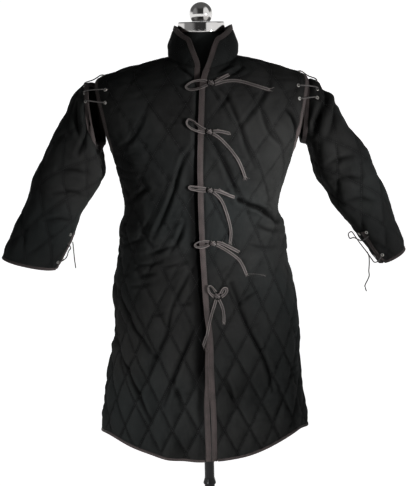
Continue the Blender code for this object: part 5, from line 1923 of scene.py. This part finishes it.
class BuildCloth(bpy.types.Operator):
    """Makes the quilted fronts, back, collar and sleeves, each as one padded wall"""

    bl_idname = "gambeson.build_cloth"
    bl_label = "Quilted panels"

    FLAT = {
        "front_left": ((0.36, 0.94), 0.255),
        "front_right": ((0.36, 0.94), 0.260),
        "back": ((0.72, 0.94), 0.500),
        "collar": ((0.46, 0.075), 0.0285),
        "sleeve_left": ((0.44, 0.45), 0.140),
        "sleeve_right": ((0.44, 0.46), 0.147),
    }

    def execute(self, context):
        for name, panel in panels().items():
            part, near = shell(panel)
            piece = solid(f"{name}_quilted", [part], "padded_canvas", 75)
            # Painted shade in the seams, creases and trench, stored for the canvas finish to darken.
            groove = piece.data.attributes.new("groove", "FLOAT", "POINT")
            groove.data.foreach_set("value", near.astype(np.float32))
            placed(piece, "padded_canvas", name)
        return {"FINISHED"}


class BuildBindings(bpy.types.Operator):
    """Folds the tapes round the coat's edges"""

    bl_idname = "gambeson.build_bindings"
    bl_label = "Edge tapes"

    def execute(self, context):
        for name, (part, _) in bindings().items():
            nodes = [name] if name in frame["nodes"] else []
            placed(solid(f"{name}_tape", [part], "binding_tape", 50), "binding_tape", *nodes)
        return {"FINISHED"}


class BuildStitching(bpy.types.Operator):
    """Sews along the quilting and the tapes"""

    bl_idname = "gambeson.build_stitching"
    bl_label = "Stitching"

    def execute(self, context):
        tree = stitch_tree()
        values = {"Length": 0.0034, "Thickness": 0.0009, "Finish": finish_of("stitching")}
        values["Pitch"] = context.scene.gambeson_coat.stitch_pitch
        for name, panel in panels().items():
            mesh = line_mesh(f"{name}_lines", quilting_lines(panel))
            placed(grown(f"{name}_quilting", mesh, tree, values), "padded_canvas")
        values.update({"Pitch": 0.0040, "Length": 0.0027, "Thickness": 0.0007})
        lines = [line for _, stitches in bindings().values() for line in stitches]
        mesh = line_mesh("tape_lines", lines)
        placed(grown("tape_stitching", mesh, tree, values), "binding_tape")
        return {"FINISHED"}


def turned_piece(name, profile, sides, finish, centre_x):
    """A turned solid from (radius, z) pairs, bottom to top, that starts and ends on the axis."""
    turn = np.linspace(0, math.tau, sides, endpoint=False)
    radius, z = np.array(profile[1:-1])[..., None].swapaxes(0, 1)
    rings = np.stack([centre_x + radius * np.cos(turn), radius * np.sin(turn), z + 0 * turn], -1)
    ends = [(centre_x, 0.0, profile[end][1]) for end in (0, -1)]
    points = np.vstack([ends[:1], rings.reshape(-1, 3), ends[1:]])
    index = 1 + np.arange(radius.size * sides).reshape(-1, sides)
    index = np.hstack([index, index[:, :1]])
    faces = grid_faces(index)
    for low, after in zip(index[0], index[0, 1:]):
        faces.append((0, after, low))
    for low, after in zip(index[-1], index[-1, 1:]):
        faces.append((low, after, len(points) - 1))
    return solid(name, [(points, faces)], finish, 32)


def rounded(profile, radius, steps=5):
    """The same profile with each of its inner corners rounded off."""
    found = [profile[0]]
    for before, corner, after in zip(profile, profile[1:], profile[2:]):
        corner = np.array(corner)
        to_before, to_after = np.array(before) - corner, np.array(after) - corner
        reach = min(radius, np.linalg.norm(to_before) * 0.45, np.linalg.norm(to_after) * 0.45)
        start, end = corner + unit(to_before) * reach, corner + unit(to_after) * reach
        for t in np.linspace(0, 1, steps + 1):
            found.append(start * (1 - t) ** 2 + corner * 2 * t * (1 - t) + end * t**2)
    return [*found, profile[-1]]


# The stand's turned pieces: name, CAD node, finish, sides if not the user's, the radius at its
# corners, then its profile as radius and z.
TURNED = [
    ("base_plate", "base", "black_enamel", None, 0.002, [
        (0, 0), (0.188, 0), (0.190, 0.002), (0.190, 0.0075), (0.187, 0.010), (0.060, 0.0118),
        (0.034, 0.0140), (0.030, 0.026), (0.020, 0.030), (0, 0.030),
    ]),
    ("lower_tube", "lower_pole", "black_enamel", 64, 0.0006, [
        (0, 0.0303), (0.0125, 0.0303), (0.0125, 0.3965), (0, 0.3965),
    ]),
    ("clamp_ring", "pole_coupling", "black_enamel", 64, 0.0008, [
        (0, 0.3968), (0.0156, 0.3968), (0.0156, 0.3998), (0.0140, 0.4048), (0.0124, 0.411),
        (0.0124, 0.412), (0, 0.412),
    ]),
    ("upper_tube", "upper_pole", "black_enamel", 64, 0.0006, [
        (0, 0.4123), (0.0120, 0.4123), (0.0120, 0.7997), (0, 0.7997),
    ]),
    ("cap", "neck_cap", "polished_chrome", None, 0.0012, [
        (0, 1.4873), (0.0510, 1.4873), (0.0535, 1.4890), (0.0528, 1.5093), (0.0510, 1.5110),
        (0.030, 1.5117), (0.018, CAP_TOP), (0, CAP_TOP),
    ]),
]


class BuildStand(bpy.types.Operator):
    """Turns the base, pole, neck cap and ball, and shapes the dress form"""

    bl_idname = "gambeson.build_stand"
    bl_label = "Dress form and stand"

    def execute(self, context):
        user_sides = context.scene.gambeson_stand.sides
        for name, node, finish, sides, radius, profile in TURNED:
            centre = NECK_X if finish == "polished_chrome" else 0.0
            profile = rounded(profile, radius)
            placed(turned_piece(name, profile, sides or user_sides, finish, centre), finish, node)
        first = math.acos((BALL_Z - CAP_TOP - SEAM_GAP) / BALL_RADIUS)
        polar = np.linspace(first, math.pi, 48)[:-1]
        ball = [(0, CAP_TOP + SEAM_GAP)]
        ball += zip(BALL_RADIUS * np.sin(polar), BALL_Z - BALL_RADIUS * np.cos(polar))
        ball.append((0, BALL_Z + BALL_RADIUS))
        piece = turned_piece("ball", ball, user_sides, "polished_chrome", NECK_X)
        placed(piece, "polished_chrome", "finial")
        self.build_form()
        return {"FINISHED"}

    @staticmethod
    def build_form():
        """The form follows the cloth from inside: clear below, just under it along the shoulders."""
        turn = np.linspace(0, math.tau, 120, endpoint=False)
        rings = []
        for level, inset in FORM_INSETS:
            ring = torso_base(level, turn)
            centre = ring * [0, 0, 1]
            away = ring - centre
            length = np.linalg.norm(away, axis=-1, keepdims=True)
            wide = np.maximum(np.abs(ring[:, :1]), FORM_HALF_WIDTH)
            rings.append(centre + away * (1 - inset / length) * FORM_HALF_WIDTH / wide)
        for level in FORM_SHOULDERS:
            ring = torso_base(np.array([level - 0.5, level, min(level + 0.5, 27)])[:, None], turn)
            normal = grid_normals(ring, ring * [0, 0, 1])[1]
            inset = WALL + 0.0012 + (1 - np.cos(turn) ** 2) * 0.012
            rings.append(ring[1] - normal * inset[:, None])
        for radius, z in FORM_NECK:
            ring = [radius * np.cos(turn) + NECK_X, -radius * np.sin(turn), 0 * turn + z]
            rings.append(np.stack(ring, -1))
        low = []
        for share, rise in FORM_UNDERSIDE:
            low.append(rings[0] * [share, share, 0] + [0, 0, FORM_BOTTOM + rise])
        above = len(rings)
        rings = np.array(low + rings)
        known = np.concatenate([np.arange(len(low)) / len(low), np.arange(above) + 1])
        levels = np.concatenate([known[: len(low)], np.linspace(1, known[-1], 120)])
        index = np.interp(levels, known, np.arange(len(known)))
        places = smooth_rows(rings.reshape(len(rings), -1), index).reshape(len(index), -1, 3)
        places[:, :, 2] = np.maximum(places[:, :, 2], FORM_BOTTOM)
        o = np.arange(len(index) * len(turn)).reshape(len(index), -1)
        faces = grid_faces(np.hstack([o, o[:, :1]])) + [o[0][::-1].tolist(), o[-1].tolist()]
        piece = solid("form_body", [(places.reshape(-1, 3), faces)], "form_jersey", 60)
        placed(piece, "form_jersey", "torso_form")


class BuildStage(bpy.types.Operator):
    """Lays the floor and sets the soft studio light"""

    bl_idname = "gambeson.build_stage"
    bl_label = "Floor and light"

    def execute(self, context):
        stage = context.scene.gambeson_stage
        mesh = bpy.data.meshes.new("floor")
        half = 60.0
        corners = [(-half, -half, 0), (half, -half, 0), (half, half, 0), (-half, half, 0)]
        mesh.from_pydata(corners, [], [(0, 1, 2, 3)])
        mesh.materials.append(floor_finish("studio_floor", tuple(stage.floor_color)))
        linked_object("floor", mesh)
        self.light("key", (2.0, -1.7, 1.22), (0.11, -0.12, 1.13), 0.35, 16, stage.key_power)
        self.light("fill", (-1.5, -2.0, 1.35), (0.0, -0.15, 0.62), 0.45, 17, stage.fill_power)
        self.surroundings(context.scene, stage)
        context.scene.view_settings.view_transform = "Standard"
        return {"FINISHED"}

    @staticmethod
    def light(name, place, target, size, spread, power):
        data = bpy.data.lights.new(name, "AREA")
        data.shape = "DISK"
        data.size = size
        data.spread = math.radians(spread)
        data.energy = power
        made = linked_object(name, data)
        made.location = place
        made.rotation_euler = (Vector(target) - Vector(place)).to_track_quat("-Z", "Y").to_euler()

    @staticmethod
    def surroundings(scene, stage):
        """White behind; in front a white wall at the right, a grey one at the left and a gap."""
        world = bpy.data.worlds.new("studio")
        world.use_nodes = True
        build = Builder(world.node_tree)
        place = build.node("ShaderNodeTexCoord").outputs["Generated"]
        apart = build.node("ShaderNodeSeparateXYZ", inputs={"Vector": place})
        across, back, high = (Value(build, apart.outputs[axis]) for axis in "XYZ")
        behind = back.between(-0.10, 0.15)
        walls = 0.04 + across.between(0.36, 0.46) * 0.96 + (0 - across).between(0.40, 0.78) * 0.24
        low = 1 - high.between(0.70, 0.92)
        backdrop = 1.05 - high.between(0.06, 0.30) * (1.05 - stage.top_tone)
        front = walls * low + (1 - low) * stage.top_tone
        background = world.node_tree.nodes["Background"].inputs
        build.join(backdrop * behind + front * (1 - behind), background["Strength"])
        background["Color"].default_value = (1.0, 1.0, 1.0, 1.0)
        scene.world = world


OPERATORS = (
    BuildCamera, BuildTies, BuildLaces, BuildCloth, BuildBindings, BuildStitching, BuildStand,
    BuildStage,
)


class GambesonPanel(bpy.types.Panel):
    """Lists the coat's pieces and sizes"""

    bl_idname = "VIEW3D_PT_gambeson"
    bl_label = "Gambeson"
    bl_space_type = "VIEW_3D"
    bl_region_type = "UI"
    bl_category = "Gambeson"

    def draw(self, context):
        layout = self.layout
        for settings in SETTINGS:
            group = getattr(context.scene, settings)
            box = layout.box()
            for key in group.__annotations__:
                box.prop(group, key)
        column = layout.column(align=True)
        for operator in OPERATORS:
            column.operator(operator.bl_idname)


SETTINGS = {
    "gambeson_coat": CoatSettings,
    "gambeson_stand": StandSettings,
    "gambeson_stage": StageSettings,
}
CLASSES = (*SETTINGS.values(), *OPERATORS, GambesonPanel)


def register():
    for made in CLASSES:
        bpy.utils.register_class(made)
    for name, settings in SETTINGS.items():
        setattr(bpy.types.Scene, name, PointerProperty(type=settings))


def unregister():
    for name in SETTINGS:
        delattr(bpy.types.Scene, name)
    for made in reversed(CLASSES):
        bpy.utils.unregister_class(made)


def main():
    register()
    for operator in OPERATORS:
        group, name = operator.bl_idname.split(".")
        getattr(getattr(bpy.ops, group), name)()


if __name__ == "__main__":
    main()
